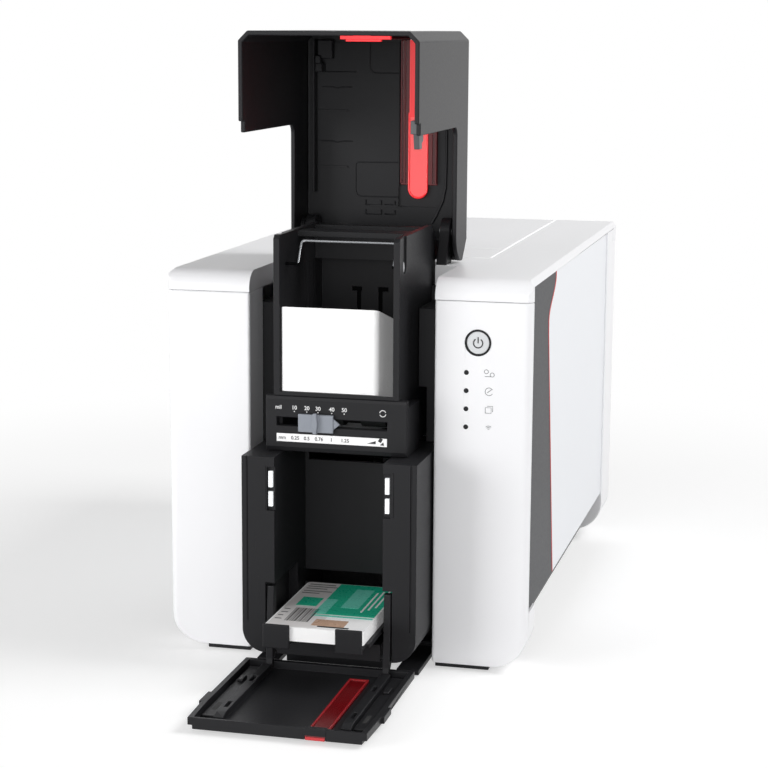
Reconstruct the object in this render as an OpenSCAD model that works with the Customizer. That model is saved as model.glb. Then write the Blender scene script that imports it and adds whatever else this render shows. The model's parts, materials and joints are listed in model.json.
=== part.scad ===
// Desktop printer for plastic identity cards, standing open: the feeder cover is up and the
// output flap is down. X is across the front, +Y runs to the rear and Z is up from the floor.
// Inside the modules Y is counted from the white front face, and at_front() moves each piece
// so that the origin is under the middle of the whole open printer.

/* [Body] */
// Width of the white body
body_w = 205; // [200:1:216]
// Depth of the white body, front face to rear face
body_d = 340; // [334:1:360]
// Height of the top of the white body above the floor
body_h = 216.4; // [214:0.2:222]
// Gap under the white body, filled by the rubber feet
foot_h = 3; // [2:0.5:5]
// Wall of the moulded covers
wall = 2.5; // [2:0.1:3]
// Height of the top frame above its seam
frame_h = 11.4; // [10:0.2:13]
// Radius of the lower outer corners of the front panels
corner_r = 20; // [14:1:24]
// Radius of the upright outer edges
edge_r = 4.5; // [2:0.5:6]
// Radius of the curve from the front face to the top
brow_r = 10; // [6:0.5:10]
// Bevel along the outer edges of the top
top_bevel = 3; // [1.5:0.5:4]
// Height of the side panels' lower edge above the floor
side_low = 34; // [28:1:40]
// How deep the side panels sit inside the frame
side_inset = 1.2; // [0.5:0.1:2]
// Depth of the front panels' side returns
return_d = 25; // [22:1:30]
// Depth of the rear housing along the sides
rear_d = 20; // [14:1:26]
// Width of the red trim line on the sides
trim_w = 1; // [0.8:0.1:2]

/* [Front gap] */
// Distance from the middle to the left front panel
gap_left = 54.6; // [54:0.2:60]
// Distance from the middle to the right front panel
gap_right = 49.4; // [49.3:0.1:54]
// Depth of the notch in the top behind the front face
notch_d = 58; // [54:1:62]

/* [Output hopper] */
// Width of the black column
hopper_w = 96.8; // [94:0.2:98]
// How far the hopper stands out of the white front
hopper_out = 35; // [32:0.5:38]
// Height of the hopper's top
hopper_top = 121.5; // [118:0.5:124]
// Height of the hopper's underside
hopper_low = 12.5; // [12:0.5:13]
// Radius of the hopper's lower corners
hopper_r = 13; // [8:0.5:14]
// Width of the hopper's mouth
mouth_w = 60; // [58.5:0.5:62]
// Distance from the white front to the hopper's back wall
hopper_back = 25; // [23:0.5:28]
// Height of the tunnel under the back wall, for the tray
tunnel_h = 44; // [43:0.5:48]
// Distance from the white front to the hopper's rear end
hopper_rear = 62; // [60:1:66]

/* [Output flap] */
// Thickness of the closed flap
flap_t = 6; // [5:0.5:8]
// Height of the open flap above the floor
flap_air = 2; // [1:0.5:4]
// Height of the flap's hinge axis
flap_axis_z = 16.5; // [16.5:0.5:18]
// Gap between the closed flap's lower end and the floor
flap_low = 22; // [21:0.5:26]
// Length of the hinge arms above the axis
arm_l = 33.5; // [30:0.5:35]
// Width of each hinge arm
arm_w = 4; // [3:0.2:4.4]
// Radius of the flap's hinge pins
flap_pin_r = 1.5; // [1.2:0.1:1.8]

/* [Cards] */
// Length of a card
card_l = 85.6; // [85.6]
// Width of a card
card_w = 53.98; // [53.98]
// Corner radius of a card
card_r = 3.18; // [3.18]
// Height of the blank cards' pile
pile_h = 46.2; // [30:0.2:50]
// Height of the printed cards' pile
printed_h = 7.6; // [4:0.2:8]
// Height of the tray's floor above the floor
tray_z = 30; // [29:0.5:31]
// How far the cards stand out of the white front
tray_out = 65; // [62:0.5:66]
// Width of the finger gap in the tray's lip
finger_w = 25; // [20:1:30]

/* [Card feeder] */
// Width across the feeder's walls
feeder_w = 69.4; // [68:0.2:72]
// Thickness of the feeder's walls
feeder_wall = 3.4; // [2.5:0.1:4]
// How far the feeder stands out of the white front
feeder_out = 20; // [17:0.5:21]
// Height of the feeder's walls above the white top
feeder_rise = 22.6; // [21:0.2:23]
// Distance from the white front to the inside of the feeder's back
feeder_back = 64; // [63.8:0.2:66]
// Slope of the cards, down to the rear
card_tilt = 15; // [12:0.5:16]
// Height of the lowest card's front edge
pile_z = 155.2; // [155:0.2:157]
// Distance from the middle to the cards' left edge
pile_left = 30.8; // [30:0.1:31]
// Radius of the wire bail's rod
bail_r = 0.9; // [0.7:0.1:1.1]
// Length of the wire bail's arms
bail_l = 14.3; // [13:0.1:15]

/* [Gauge] */
// Width of the gauge panel
gauge_w = 78.4; // [76:0.2:80]
// Height of the gauge panel's top
gauge_top = 152.5; // [151.5:0.1:152.6]
// Thickness of the gauge panel
gauge_t = 5; // [4:0.5:6]
// Length of the slider's slot
slot_l = 61.4; // [60:0.2:64]
// Height of the slider's slot
slot_h = 4.6; // [4:0.1:5]
// Height of the slot's axis
slot_z = 138.3; // [137.5:0.1:139]
// Width of the slider's button
slider_w = 19.6; // [18:0.2:20.6]
// Height of the slider's button
slider_h = 9.8; // [8:0.2:10.4]

/* [Feeder cover] */
// Width across the cover
cover_w = 96.4; // [95:0.2:96.4]
// Height of the closed cover above the white top
cover_rise = 30.6; // [30:0.2:31]
// Distance from the closed cover's front to its rear end
cover_l = 128.5; // [128:0.1:128.6]
// How far the closed cover stands out past the hopper
cover_out = 2; // [1.5:0.5:2.5]
// Wall of the cover
cover_wall = 2.4; // [2:0.1:2.5]
// Depth of the cover's deep front part along the sides
cover_deep = 52.5; // [49:0.5:54]
// Bevel of the cover's upright front edges
cover_bevel = 5; // [3:0.5:6]
// Distance from the white front to the cover's hinge axis
cover_axis_y = 75; // [75:0.1:75.4]
// Radius of the cover's hinge pins
cover_pin_r = 3; // [2.5:0.1:3.2]
// Distance from the middle to the red windows' centre line
window_x = 20; // [18:0.5:21]
// Width of the red windows
window_w = 10.6; // [9:0.2:11]

/* [Top lid] */
// Width of the lid
lid_w = 118.6; // [116:0.2:119]
// Distance from the white front to the deck before the lid
deck_y = 100; // [98:0.5:101]
// Distance from the white front to the lid's front edge
lid_y = 150.3; // [149:0.1:151]
// Distance from the rear face to the lid's hinge axis
lid_axis_in = 9; // [8:0.5:10]

/* [Print engine] */
// Distance from the middle to the chassis plates
plate_x = 62; // [61.6:0.1:63]
// Thickness of the chassis plates
plate_t = 1.5; // [1.2:0.1:2]
// Depth of the card path below the white top
path_drop = 104.4; // [103.4:0.5:105.4]
// Distance from the rear face to the print line
print_in = 100; // [99:0.5:102]
// Radius of the platen roller
platen_r = 8; // [7:0.2:8.4]
// Radius of the feed rollers
feed_r = 7; // [6:0.2:7.6]
// Radius of the roller shafts
shaft_r = 3; // [2.5:0.1:3]
// Running clearance of shafts and pins
running = 0.05; // [0.03:0.01:0.09]
// Width of the ribbon
ribbon_w = 58; // [54:0.5:60]
// Radius of the full ribbon roll
supply_r = 17; // [14:0.5:18]
// Radius of the used ribbon roll
takeup_r = 12; // [9:0.5:12.5]
// Teeth of the take-up gear
gear_teeth = 24; // [24:12:24]
// Teeth of the ribbon motor's pinion
pinion_teeth = 12; // [12]
// Tooth module of the ribbon gears
gear_module = 1; // [0.9:0.05:1]

/* [Controls] */
// Distance from the middle to the power button
button_x = 73.1; // [72:0.1:76]
// Depth of the power button below the white top
button_drop = 33.8; // [31:0.2:38]
// Radius of the power button
button_r = 6; // [5:0.1:6.4]
// Distance from the middle to the status lights
light_x = 67; // [66:0.1:70]
// Depth of the top status light below the white top
light_drop = 50.1; // [48.5:0.1:52.5]
// Distance between status lights
light_step = 9.9; // [9:0.1:11]

/* [Hidden] */
$fn = 48;

white = "whitesmoke";
pale = "lightsteelblue";
stripe_grey = "dimgray";
black = "#2b2b2d";
dark = "#3a3a3c";
red = "crimson";
steel = "silver";

fit = 0.3;
eps = 0.01;
half_w = body_w / 2;
seam_z = body_h - frame_h;
column_half = hopper_w / 2;
side_x = half_w - side_inset;
lid_axis_y = body_d - lid_axis_in;
path_z = body_h - path_drop;
print_y = body_d - print_in;
button_z = body_h - button_drop;
light_z = body_h - light_drop;
lid_half = lid_w / 2;
feeder_half = feeder_w / 2;
feeder_inner = feeder_half - feeder_wall;
feeder_top = body_h + feeder_rise;
housing_notch = feeder_half + 1.8;
housing_rear = feeder_back + wall;
bulkhead_y = notch_d - wall;

// The flap is drawn closed against the hopper and turned down about its axis.
flap_front = -hopper_out - flap_t;
flap_axis_y = flap_axis_z + flap_front - flap_air;
flap_top = hopper_top - 0.5;
flap_reach = flap_top - flap_axis_z - flap_axis_y;
arm_x = mouth_w / 2 + 0.6;
pocket_x = arm_x + arm_w + 0.6;
arm_back = flap_axis_y + arm_l;
rail_w = 5.2;
pin_x = pocket_x + 5;

// The feeder cover is drawn closed over the column and turned up about its axis.
cover_top = body_h + cover_rise;
cover_low = hopper_top + 0.7;
cover_front = -hopper_out - cover_out;
cover_end = cover_front + cover_l;
cover_axis_z = cover_top - 13;
cover_half = cover_w / 2;
cover_cut = cover_end - cover_axis_y;
cover_skirt = cover_axis_z - cover_cut;
cover_deep_y = cover_front + cover_deep;
rear_chamfer = 11;
bracket_x = 39.7;
bracket_w = 6;
bracket_r = 7.5;
boss_x = bracket_x + bracket_w / 2 + 0.5;

// The bounding box of the open printer runs from the flap's free edge to the rear housing.
front_y = -(body_d - flap_reach) / 2;

slider_y = -feeder_out;
slot_x = -2.35;
slider_x = -10.7;
pile_x = -pile_left + card_w / 2;
exit_z = pile_z - (feeder_back + feeder_out) * tan(card_tilt);
bail_y = -8;
bail_z = feeder_top - 16.5;
bail_angle = 124;
washer_r = 3.2;
groove_r = washer_r + 0.3;
groove_deep = 1.2;
slot_deep = wall - 0.8;

scale_low = slot_z - 10.9;
scale_high = slot_z - 6.5;
gear_slack = 0.25;
gear_centre = gear_module * (gear_teeth + pinion_teeth) / 2 + gear_slack;
takeup_y = print_y - 64;
takeup_z = path_z + 53;
supply_y = print_y + 50;
supply_z = path_z + 48;
spool_half = plate_x - 1;
belt_x = -plate_x - 6;
pulley_r = 6;
belt_t = 1.2;
rollers = [["pick", 20, pile_z - (20 + feeder_out) * tan(card_tilt) - feed_r / cos(card_tilt) - 0.4],
           ["eject", 84, path_z - feed_r],
           ["cleaning", print_y - 80, path_z - feed_r],
           ["platen", print_y, path_z - platen_r],
           ["transport", print_y + 52, path_z - feed_r]];
motor_y = print_y - 40;
motor_z = 60;
gear_dir = 225;
pinion_y = takeup_y + gear_centre * cos(gear_dir);
pinion_z = takeup_z + gear_centre * sin(gear_dir);
rod_front = [print_y - 18, path_z + 6];
rod_rear = [print_y + 20, path_z + 6];
side_top = body_h - top_bevel - 0.4;
skin_t = 2;
bezel_w = 1.2;
lid_pin_r = 1.5;
lid_axis_z = seam_z + 4;

module at_front() translate([0, front_y, 0]) children();

// Moves a child from the world's Y-Z drawing plane: x of the outline is Y, y of it is Z.
module along_x(x0, x1)
    translate([x0, 0, 0]) rotate([90, 0, 90]) linear_extrude(x1 - x0) children();

// An outline drawn in X and Z, extruded from y0 to y1.
module along_y(y0, y1)
    translate([0, y1, 0]) rotate([90, 0, 0]) linear_extrude(y1 - y0) children();

module box(x0, x1, y0, y1, z0, z1) translate([x0, y0, z0]) cube([x1 - x0, y1 - y0, z1 - z0]);

module rod_x(x0, x1, y, z, r) translate([x0, y, z]) rotate([0, 90, 0]) cylinder(r = r, h = x1 - x0);

module rod_y(x, y0, y1, z, r) translate([x, y1, z]) rotate([90, 0, 0]) cylinder(r = r, h = y1 - y0);

// A rectangle with one radius for each corner, from the lower left, counter-clockwise.
module corner_rect(x0, x1, y0, y1, r) {
    difference() {
        translate([x0, y0]) square([x1 - x0, y1 - y0]);
        for (c = [[x0, y0, 1, 1, r[0]], [x1, y0, -1, 1, r[1]],
                  [x1, y1, -1, -1, r[2]], [x0, y1, 1, -1, r[3]]])
            if (c[4] > 0)
                translate([c[0], c[1]]) scale_corner(c[2], c[3]) corner_cut(c[4]);
    }
}

module scale_corner(sx, sy) mirror([sx < 0 ? 1 : 0, 0]) mirror([0, sy < 0 ? 1 : 0]) children();

module corner_cut(r) difference() {
    translate([-eps, -eps]) square(r + eps);
    translate([r, r]) circle(r, $fn = 64);
}

module cover_pose() translate([0, cover_axis_y, cover_axis_z]) rotate([-90, 0, 0])
    translate([0, -cover_axis_y, -cover_axis_z]) children();

module flap_pose() translate([0, flap_axis_y, flap_axis_z]) rotate([90, 0, 0])
    translate([0, -flap_axis_y, -flap_axis_z]) children();

// ---- white body ----

module base_tray() color(black) at_front() difference() {
    along_y(return_d + wall + fit, body_d - rear_d - fit) polygon([
        [-side_x + 16, foot_h + 0.5], [side_x - 16, foot_h + 0.5], [side_x - 3, side_low],
        [side_x - 3, side_low + 6], [-side_x + 3, side_low + 6], [-side_x + 3, side_low]]);
    along_y(return_d + 2 * wall + fit, body_d - rear_d - fit - wall) polygon([
        [-side_x + 19, foot_h + 3], [side_x - 19, foot_h + 3], [side_x - 6, side_low + 2],
        [side_x - 6, side_low + 7], [-side_x + 6, side_low + 7], [-side_x + 6, side_low + 2]]);
    box(-column_half - 0.4, column_half + 0.4, 0, hopper_rear + 0.5, foot_h + 2.9, side_low + 7);
}

module rubber_feet() color(dark) at_front() for (sx = [-1, 1], y = [return_d + 18, body_d - 30])
    translate([sx * (side_x - 30), y, 0]) cylinder(r = 8, h = foot_h + 0.5);

module front_panel_outline(x0, x1, inset)
    corner_rect(x0 + inset, x1 - inset, foot_h + inset, seam_z - fit + (inset > 0 ? 5 : 0),
                x0 < 0 ? [corner_r - inset, 2, 0, 0] : [2, corner_r - inset, 0, 0]);

module front_panel(x0, x1) {
    difference() {
        intersection() {
            along_y(0, return_d) front_panel_outline(x0, x1, 0);
            linear_extrude(body_h) corner_rect(x0, x1, 0, return_d,
                x0 < 0 ? [edge_r, 1.5, 0, 0] : [1.5, edge_r, 0, 0]);
        }
        along_y(wall, return_d + 1) front_panel_outline(x0, x1, wall);
    }
}

// The side skins start right behind the front panels' rounded edges.
module skin_room(y1) for (sx = [-1, 1])
    box(sx < 0 ? -half_w - 1 : side_x - skin_t - 0.2, sx < 0 ? -side_x + skin_t + 0.2 : half_w + 1,
        edge_r + 0.2, y1, side_low - 0.2, side_top + 0.2);

module front_panel_left() color(white) at_front() difference() {
    front_panel(-half_w, -gap_left);
    skin_room(return_d + 1);
}

module front_panel_right() color(white) at_front() difference() {
    front_panel(gap_right, half_w);
    skin_room(return_d + 1);
    rod_y(button_x, -1, wall + 1, button_z, button_r + bezel_w + running);
    for (i = [0:3]) rod_y(light_x, -1, wall + 1, light_z - i * light_step, 1.3 + running);
}

module top_outline() difference() {
    corner_rect(-half_w, half_w, 0, body_d, [edge_r, edge_r, edge_r, edge_r]);
    translate([-gap_left, -1]) square([gap_left + gap_right, notch_d + 1]);
    translate([-housing_notch, -1]) square([2 * housing_notch, housing_rear + 3]);
}

module brow(inset, low) difference() {
    translate([inset, low]) square([body_d - 2 * inset, body_h - inset - low]);
    translate([inset, body_h - inset]) scale_corner(1, -1) corner_cut(brow_r - inset / 2);
}

module roof(inset, low) polygon([
    [-half_w + inset, low], [half_w - inset, low], [half_w - inset, body_h - top_bevel - inset / 2],
    [half_w - top_bevel - inset / 2, body_h - inset], [-half_w + top_bevel + inset / 2, body_h - inset],
    [-half_w + inset, body_h - top_bevel - inset / 2]]);

module top_frame() color(white) at_front() difference() {
    intersection() {
        linear_extrude(body_h + 1) top_outline();
        along_x(-half_w, half_w) brow(0, seam_z);
        along_y(0, body_d) roof(0, seam_z);
    }
    intersection() {
        for (sx = [-1, 1]) box(sx < 0 ? -half_w : lid_half + 3, sx < 0 ? -lid_half - 3 : half_w,
                               wall, body_d - wall, seam_z - 1, body_h);
        along_x(-half_w, half_w) brow(wall, seam_z - 1);
        along_y(0, body_d) roof(wall, seam_z - 1);
    }
    box(-lid_half - 0.4, lid_half + 0.4, deck_y - 0.4, body_d + 1, seam_z - 1, body_h + 1);
    box(-lid_half - 4, lid_half + 4, housing_rear + 6, deck_y - 3, seam_z - 1, body_h - wall);
    skin_room(body_d - rear_d);
    lid_bores();
}

// Bores of the lid's hinge pins, through the lid's sides and the frame beside them.
module lid_bores() for (sx = [-1, 1])
    rod_x(sx < 0 ? -lid_half - 3.2 : 39, sx < 0 ? -39 : lid_half + 3.2,
          lid_axis_y, lid_axis_z, lid_pin_r + running);

module top_deck() color(white) at_front() difference() {
    box(-lid_half, lid_half, deck_y, lid_y - 0.4, seam_z, body_h);
    box(-lid_half + wall, lid_half - wall, deck_y + wall, lid_y - 0.4 - wall, seam_z - 1, body_h - wall);
}

module lid_knuckle(r) for (sx = [-1, 1])
    rod_x(sx * 48 - 4, sx * 48 + 4, lid_axis_y, lid_axis_z, r);

module top_lid() color(white) at_front() difference() {
    union() {
        difference() {
            intersection() {
                box(-lid_half, lid_half, lid_y, body_d - 0.4, seam_z + 0.4, body_h);
                along_x(-half_w, half_w) difference() {
                    square([body_d, body_h]);
                    translate([body_d - 0.4, seam_z + 0.4]) scale_corner(-1, 1) corner_cut(6);
                }
            }
            box(-lid_half + wall, lid_half - wall, lid_y + wall, body_d - 0.4 - wall,
                seam_z - 1, body_h - wall);
        }
        for (x = [-40, 0, 40])
            box(x - 1, x + 1, lid_y + wall, body_d - 18, body_h - wall - 3, body_h - wall + eps);
        for (sx = [-1, 1]) box(sx * 48 - 4, sx * 48 + 4, lid_axis_y - 3.6, lid_axis_y + 3.6,
                               lid_axis_z, body_h - wall + eps);
        lid_knuckle(3.6);
    }
    lid_bores();
}

module lid_hinge_pins() color(steel) at_front() for (sx = [-1, 1])
    rod_x(sx < 0 ? -lid_half - 2 : 40, sx < 0 ? -40 : lid_half + 2, lid_axis_y, lid_axis_z, lid_pin_r);

module head_carrier() color(dark) at_front() difference() {
    along_x(-46, 46) polygon([
        [print_y - 22, body_h - wall - 3], [print_y + 22, body_h - wall - 3],
        [print_y + 22, body_h - wall - 8], [print_y + 10, body_h - 30],
        [print_y + 10, path_z + 38], [print_y - 8, path_z + 38],
        [print_y - 8, body_h - 30], [print_y - 22, body_h - wall - 8]]);
    for (x = [-23, 23]) box(x - 15, x + 15, print_y - 30, print_y + 30, path_z + 48, body_h - 26);
    for (x = [-40, 0, 40]) box(x - 1.01, x + 1.01, print_y - 30, print_y + 30, body_h - wall - 3.01, body_h);
}

module print_head() color(steel) at_front() {
    along_x(-34, 34) polygon([
        [print_y - 7, path_z + 38], [print_y + 9, path_z + 38], [print_y + 9, path_z + 12],
        [print_y + 2, path_z + 1.6], [print_y - 2, path_z + 1.6], [print_y - 7, path_z + 12]]);
    for (i = [0:6])
        box(-34, 34, print_y + 9 - eps, print_y + 12, path_z + 14 + i * 3.4, path_z + 15.6 + i * 3.4);
}

module rear_housing() color(white) at_front() difference() {
    intersection() {
        along_y(body_d - rear_d, body_d) corner_rect(-half_w, half_w, side_low - 10, seam_z - fit,
                                                      [22, 22, 0, 0]);
        linear_extrude(body_h) corner_rect(-half_w, half_w, body_d - rear_d, body_d, [0, 0, 8, 8]);
    }
    along_y(body_d - rear_d - 1, body_d - wall) corner_rect(-half_w + wall, half_w - wall,
        side_low - 10 + wall, seam_z + 1, [20, 20, 0, 0]);
    for (s = socket_list) box(s[0] - s[2] / 2 - 0.2, s[0] + s[2] / 2 + 0.2, body_d - rear_d, body_d + 1,
                              s[1] - 0.2, s[1] + s[3] + 0.2);
    box(-lid_half - 1, lid_half + 1, body_d - rear_d - 1, body_d + 1, seam_z - 4, seam_z + 1);
    for (i = [0:9]) box(-60, -20, body_d - wall - 1, body_d + 1, 90 + i * 8, 93 + i * 8);
    box(-half_w - 1, -half_w + wall + 1, body_d - rear_d - 1, body_d - rear_d + 2, 0, side_low + 8);
    box(half_w - wall - 1, half_w + 1, body_d - rear_d - 1, body_d - rear_d + 2, 0, side_low + 8);
}

// Border between the dark stripe and the pale panel, drawn in Y and Z.
stripe_low_y = 90.5;
stripe_waist_y = 59.5;
stripe_waist_z = 187;
stripe_top_y = 83;
function stripe_border() = [[stripe_low_y, side_low], [stripe_waist_y + 0.6, stripe_waist_z - 8],
    for (t = [0:0.125:1]) [stripe_waist_y + (stripe_top_y - stripe_waist_y) * (1 - cos(180 * t)) / 2,
                           stripe_waist_z + (side_top - 3 - stripe_waist_z) * t],
    [stripe_top_y, side_top]];

module stripe_shape()
    polygon(concat([[edge_r + fit, side_low]], stripe_border(), [[edge_r + fit, side_top]]));

module trim_shape() difference() {
    polygon(concat([[edge_r + 2, side_low]], [for (p = stripe_border()) p + [trim_w, 0]],
                   [[edge_r + 2, side_top]]));
    stripe_shape();
}

module panel_shape() difference() {
    translate([edge_r, side_low]) square([body_d - rear_d - edge_r, side_top - side_low]);
    polygon(concat([[edge_r - 1, side_low - 1]], [[stripe_low_y + trim_w, side_low - 1]],
                   [for (p = stripe_border()) p + [trim_w, 0]],
                   [[stripe_top_y + trim_w, side_top + 1], [edge_r - 1, side_top + 1]]));
}

module side_skin(side) if (side < 0) along_x(-side_x, -side_x + skin_t) children();
    else along_x(side_x - skin_t, side_x) children();

module side_panel_left() color(pale) at_front() side_skin(-1) panel_shape();

module side_panel_right() color(pale) at_front() side_skin(1) panel_shape();

module side_stripe_left() color(stripe_grey) at_front() side_skin(-1) stripe_shape();

module side_stripe_right() color(stripe_grey) at_front() side_skin(1) stripe_shape();

module side_trims() color(red) at_front() for (s = [-1, 1]) side_skin(s) trim_shape();

// ---- black column ----

module recess_panel() color(black) at_front() difference() {
    along_x(-gap_left - wall, gap_right + wall) polygon([
        [return_d, hopper_low], [return_d + wall, hopper_low], [return_d + wall, seam_z - 11],
        [notch_d, seam_z - 11], [notch_d, seam_z], [bulkhead_y, seam_z],
        [bulkhead_y, seam_z - 11 + wall], [return_d, seam_z - 11 + wall]]);
    box(-column_half - 0.2, column_half + 0.2, 0, hopper_rear, 0, hopper_top + 0.2);
    box(-gauge_w / 2 - 0.3, gauge_w / 2 + 0.3, 0, return_d + wall + 1, hopper_top, gauge_top);
    box(-feeder_half - 0.2, feeder_half + 0.2, 0, hopper_rear + 9, hopper_top, seam_z + 1);
}

module hopper_outline(inset) corner_rect(-column_half + inset, column_half - inset,
    hopper_low + inset, hopper_top + (inset > 0 ? 5 : 0),
    [hopper_r - inset, hopper_r - inset, 0, 0]);

module output_hopper() color(black) at_front() difference() {
    union() {
        along_y(-hopper_out, hopper_rear) hopper_outline(0);
        // plinth between the flap's arms
        box(-mouth_w / 2 + 1.5, mouth_w / 2 - 1.5, -hopper_out + 17, hopper_back, foot_h + 0.2, hopper_low + eps);
    }
    // open behind the back wall, above the tunnel
    box(-column_half - 1, column_half + 1, hopper_back + wall + 0.5, hopper_rear + 1,
        tunnel_h + 4, hopper_top + 1);
    // mouth, and the tunnel that the tray slides back into
    box(-mouth_w / 2, mouth_w / 2, -hopper_out - 1, hopper_back, 22, hopper_top + 1);
    box(-mouth_w / 2, mouth_w / 2, hopper_back - 1, hopper_rear + 1, 22, tunnel_h);
    // card exit slot in the back wall
    box(-28, 28, hopper_back - 1, hopper_rear, path_z - 4, path_z + 4);
    for (sx = [-1, 1]) mirror([sx < 0 ? 1 : 0, 0, 0]) {
        // pocket that the flap's arm swings through
        box(mouth_w / 2 - 1, pocket_x, -hopper_out - 1, arm_back + 2, 0, 22 + eps);
        box(mouth_w / 2 - 1, pocket_x, -hopper_out - 1, arm_back + 2, 22, flap_axis_z + arm_l + 2);
        // cored from behind
        box(pin_x + 1.5, column_half - wall, -hopper_out + wall, hopper_rear + 1, 26, hopper_top - 10);
        rod_x(mouth_w / 2, pin_x + 0.5, flap_axis_y, flap_axis_z, flap_pin_r + running);
        // recess for the light pipe
        box(mouth_w / 2 - 0.1, mouth_w / 2 + 4, -hopper_out - 1, -hopper_out + 2, 92, 116);
        box(column_half - 3.4, column_half - 2.6, -hopper_out - 1, -hopper_out + 0.6, 30, hopper_top + 1);
    }
}

module hopper_light_pipes() color(white) at_front() for (sx = [-1, 1], z = [[94.5, 102.5], [105, 113.7]])
    box(sx * (mouth_w / 2 + 2.2) - 1.1, sx * (mouth_w / 2 + 2.2) + 1.1,
        -hopper_out + 0.2, -hopper_out + 2, z[0], z[1]);

module feeder_side() polygon([
    [-feeder_out, gauge_top], [-feeder_out, feeder_top - 2], [-feeder_out + 2, feeder_top],
    [housing_rear - 10, feeder_top], [housing_rear, feeder_top - 10], [housing_rear, hopper_top + 0.5],
    [-feeder_out + gauge_t + 0.2, hopper_top + 0.5], [-feeder_out + gauge_t + 0.2, gauge_top]]);

// The sloping floor lies 1 mm under the lowest card and is open above the pick roller.
module feeder_ramp() difference() {
    along_x(-feeder_inner - eps, feeder_inner + eps) polygon([
        [-feeder_out, pile_z - 0.4], [feeder_back + eps, exit_z - 0.4],
        [feeder_back + eps, exit_z - 3],
        [-feeder_out + gauge_t + 0.2, pile_z - 3 - gauge_t * tan(card_tilt)],
        [-feeder_out + gauge_t + 0.2, gauge_top + 0.1], [-feeder_out, gauge_top + 0.1]]);
    box(-22, 22, 8, 32, 100, pile_z);
}

module feeder_housing() color(black) at_front() {
    difference() {
        union() {
            for (sx = [-1, 1])
                along_x(sx < 0 ? -feeder_half : feeder_inner, sx < 0 ? -feeder_inner : feeder_half)
                    feeder_side();
            box(-feeder_inner - eps, feeder_inner + eps, feeder_back, housing_rear,
                hopper_top + 0.5, feeder_top - 10);
            // cross bars over the cards
            box(-feeder_inner - eps, feeder_inner + eps, 15, 30, feeder_top - 4, feeder_top - 1);
            box(-feeder_inner - eps, feeder_inner + eps, 50, 56.5, feeder_top - 20, feeder_top - 1);
            feeder_ramp();
            // guide ribs on the left wall
            for (y = [30, 38, 46])
                box(-feeder_inner - eps, -feeder_inner + 0.3, y, y + 2, 176, feeder_top - 20);
        }
        // T-shaped slots in the back wall
        for (slot = [[-10.5, -9.3], [5, 3.4]]) {
            box(slot[0] - 2.9, slot[0] + 2.9, feeder_back - 1, feeder_back + slot_deep, 199.4, 201.8);
            box(slot[1] - 1.2, slot[1] + 1.2, feeder_back - 1, feeder_back + slot_deep, 184, 199.4 + eps);
        }
        // card exit in the back wall
        box(-28.5, 28.5, feeder_back - 1, housing_rear + 1,
            exit_z - 0.3, exit_z + 1.4);
        // slots and bores for the wire bail
        for (sx = [-1, 1]) {
            x = sx * (feeder_half - feeder_wall / 2);
            rod_x(x - feeder_wall, x + feeder_wall, bail_y, bail_z, bail_r + running);
            floor_x = sx * feeder_half - groove_deep;
            rod_x(floor_x, floor_x + 2 * groove_deep, bail_y, bail_z, groove_r);
            box(floor_x, floor_x + 2 * groove_deep, bail_y - groove_r, bail_y + groove_r,
                bail_z, feeder_top + 1);
        }
        // shaft bores of the pick roller
        rod_x(-feeder_half - 1, feeder_half + 1, rollers[0][1], rollers[0][2], shaft_r + running);
    }
}

module gauge_panel() color(black) at_front() difference() {
    union() {
        along_x(-gauge_w / 2, gauge_w / 2) polygon([
            [-feeder_out + 1.5, hopper_top + 0.5], [-feeder_out + gauge_t, hopper_top + 0.5],
            [-feeder_out + gauge_t, gauge_top], [-feeder_out + 0.4, gauge_top],
            [-feeder_out, gauge_top - 2], [-feeder_out, hopper_top + 3]]);
        for (sx = [-1, 1])
            box(sx < 0 ? -gauge_w / 2 : feeder_half + 0.4, sx < 0 ? -feeder_half - 0.4 : gauge_w / 2,
                -feeder_out + gauge_t - eps, 10, hopper_top + 0.5, gauge_top - 4);
    }
    box(slot_x - slot_l / 2, slot_x + slot_l / 2, -feeder_out - 1, -feeder_out + gauge_t + 1,
        slot_z - slot_h / 2, slot_z + slot_h / 2);
    box(slot_x - slot_l / 2 - 0.1, slot_x + slot_l / 2 + 0.1, -feeder_out - 1, -feeder_out + 0.6,
        scale_low - 0.1, scale_high + 0.1);
}

module gauge_scale() color("white") at_front()
    box(slot_x - slot_l / 2, slot_x + slot_l / 2, -feeder_out - 0.2, -feeder_out + 0.6,
        scale_low, scale_high);

module gauge_slider() color("lightslategray") at_front() {
    box(slider_x - slider_w / 2, slider_x + slider_w / 2, slider_y - 2.2, slider_y - 0.3,
        slot_z - slider_h / 2, slot_z + slider_h / 2);
    along_y(slider_y - 1.6, slider_y - 0.3) polygon([
        [slider_x + slider_w / 2 - eps, slot_z - 3], [slider_x + slider_w / 2 + 3.6, slot_z],
        [slider_x + slider_w / 2 - eps, slot_z + 3]]);
    along_y(slider_y - 4.6, slider_y - 2.2 + eps) polygon([
        [slider_x - 1, slot_z - slider_h / 2 - 0.4], [slider_x + 1, slot_z - slider_h / 2 - 0.4],
        [slider_x + 1.7, slot_z], [slider_x + 1, slot_z + slider_h / 2 + 1],
        [slider_x - 1, slot_z + slider_h / 2 + 1], [slider_x - 1.7, slot_z]]);
    box(slider_x - 6, slider_x + 6, slider_y - 0.3 - eps, slider_y + gauge_t + 0.4,
        slot_z - slot_h / 2 + 0.3, slot_z + slot_h / 2 - 0.3);
    box(slider_x - 6, slider_x + 6, slider_y + gauge_t + 0.3, slider_y + gauge_t + 2,
        slot_z - slot_h / 2 - 1.5, slot_z + slot_h / 2 + 1.5);
}

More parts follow.
